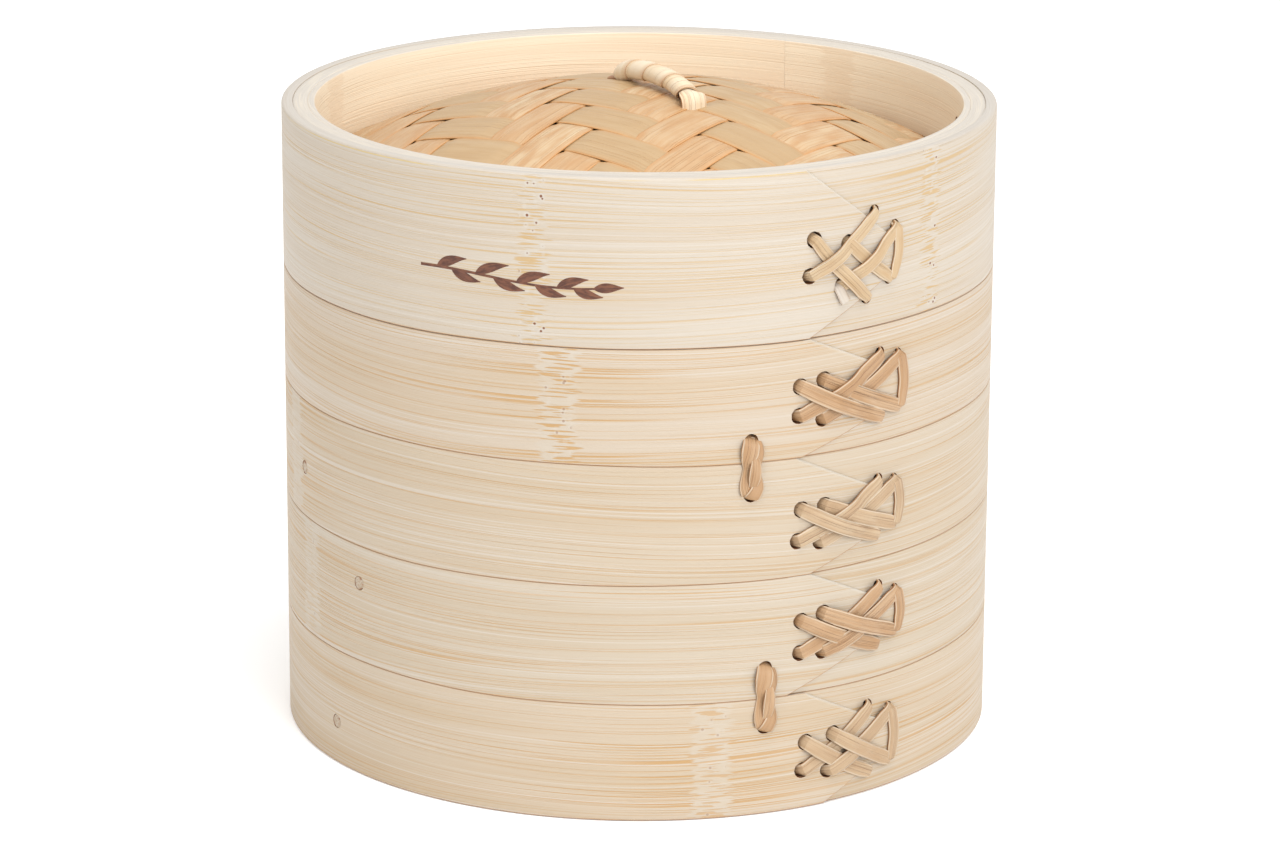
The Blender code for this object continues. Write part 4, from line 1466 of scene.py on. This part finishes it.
def laces():
    """The canes that lace the hoops, as (tan, cream, the lid's)."""
    looks = {"lengthwise": 26.0, "across": 0.22, "split_edge_highlight": SPLIT_EDGE_HIGHLIGHT}
    tan = (srgb(229, 189, 146), srgb(209, 162, 113), srgb(176, 116, 70))
    cream = (srgb(235, 206, 168), srgb(217, 180, 138), srgb(184, 130, 86))
    pale = (srgb(240, 212, 172), srgb(226, 188, 140), srgb(194, 140, 92))
    return (
        strip_material("tan_cane", *tan, 5.0, groove=1.3, rim=0.75, **looks),
        strip_material("cream_cane", *cream, 6.0, groove=1.2, rim=0.75, **looks),
        strip_material("lid_cane", *pale, 8.0, groove=1.0, rim=0.8, **looks),
    )


def add_hoops(drilled):
    """The five laced hoops with their pegs, and the ties between them."""
    tan_lace, cream_lace, lid_lace = laces()
    by_hoop = {"lid": lid_lace, "upper_bottom": cream_lace, "lower_bottom": cream_lace}
    frayed = strip_material(
        "frayed_cane", srgb(244, 234, 220), srgb(228, 208, 186), srgb(196, 160, 128), 11.0,
        groove=0.8, lengthwise=6.0, across=0.2,
    )
    peg = end_grain_material("peg_end_grain", srgb(226, 208, 184), srgb(206, 180, 150), 9.0)
    for number, hoop in enumerate(HOOPS):
        base = make_hoop(hoop, drilled)
        add_lacing(hoop, base, by_hoop.get(hoop.name, tan_lace), frayed, number + 1)
        for node in hoop.rods:
            add_peg(node, hoop.body, peg)
    for number, node in enumerate(TIES):
        add_tie(node, node.split("_")[0] + "_basket", tan_lace, number + 1)


def add_lid_bands(drilled):
    """The two bands that pinch the dome's edge."""
    tones = Tones(
        bowl(255, 240, 214), bowl(251, 232, 204), bowl(238, 202, 158), BAND_EDGE, BAND_JOINT, 0.3,
        joint_strength=0.18, joint_reach=4.2, dashes=0.4, streaks=0.0,
    )
    for label, seed, butts in (("top", 322.0, (215.0, 151.8)), ("bottom", 343.0, (140.0, 160.0))):
        rods = band_rods(f"lid_{label}_peg_left", f"lid_{label}_peg_right")
        add_band(f"lid_{label}_band", "lid", tones, seed, butts, (253.0, 500.0), drilled, rods)


def add_baskets(drilled):
    """The inner band and the floor of each basket."""
    slat = strip_material(
        "slat_bamboo", srgb(232, 208, 170), srgb(214, 182, 138), srgb(180, 140, 96), 12.0,
        groove=0.6, lengthwise=60.0, across=0.8,
    )
    for tier in ("lower", "upper"):
        add_basket_band(tier, drilled)
        pieces = [(f"{tier}_slat_{number}", number) for number in range(1, 9)]
        pieces += [(f"{tier}_dowel_{number}", 10 + number) for number in (1, 2)]
        for node, seed in pieces:
            add_slat(node, f"{tier}_basket", slat, seed)


def add_dome():
    """The woven dome, its liner and the handle that loops through them."""
    pale = strip_material(
        "weave_pale_strip", bowl(226, 200, 161), bowl(208, 163, 115), bowl(222, 158, 92), 15.0,
        lengthwise=70.0, across=0.42, rim=0.7,
    )
    tan = strip_material(
        "weave_tan_strip", bowl(209, 179, 137), bowl(198, 164, 120), bowl(218, 154, 86), 18.0,
        groove=0.4, lengthwise=60.0, across=0.8, rim=0.7,
    )
    add_weave(pale, tan)
    inner = (srgb(226, 190, 140), srgb(206, 160, 104), srgb(170, 116, 66))
    add_liner(strip_material("liner_strip", *inner, 21.0))
    dark = (bowl(208, 160, 116), bowl(172, 118, 76), bowl(126, 80, 50))
    add_core(strip_material("handle_core_cane", *dark, 27.0))
    light = (bowl(250, 232, 204), bowl(240, 214, 176), bowl(198, 140, 88))
    add_wrap(strip_material("handle_cane", *light, 24.0, groove=0.5))


def main():
    add_camera()
    add_stage()
    drilled = cut_material()
    add_hoops(drilled)
    add_sprig(burned_material())
    add_lid_bands(drilled)
    add_baskets(drilled)
    add_dome()


main()
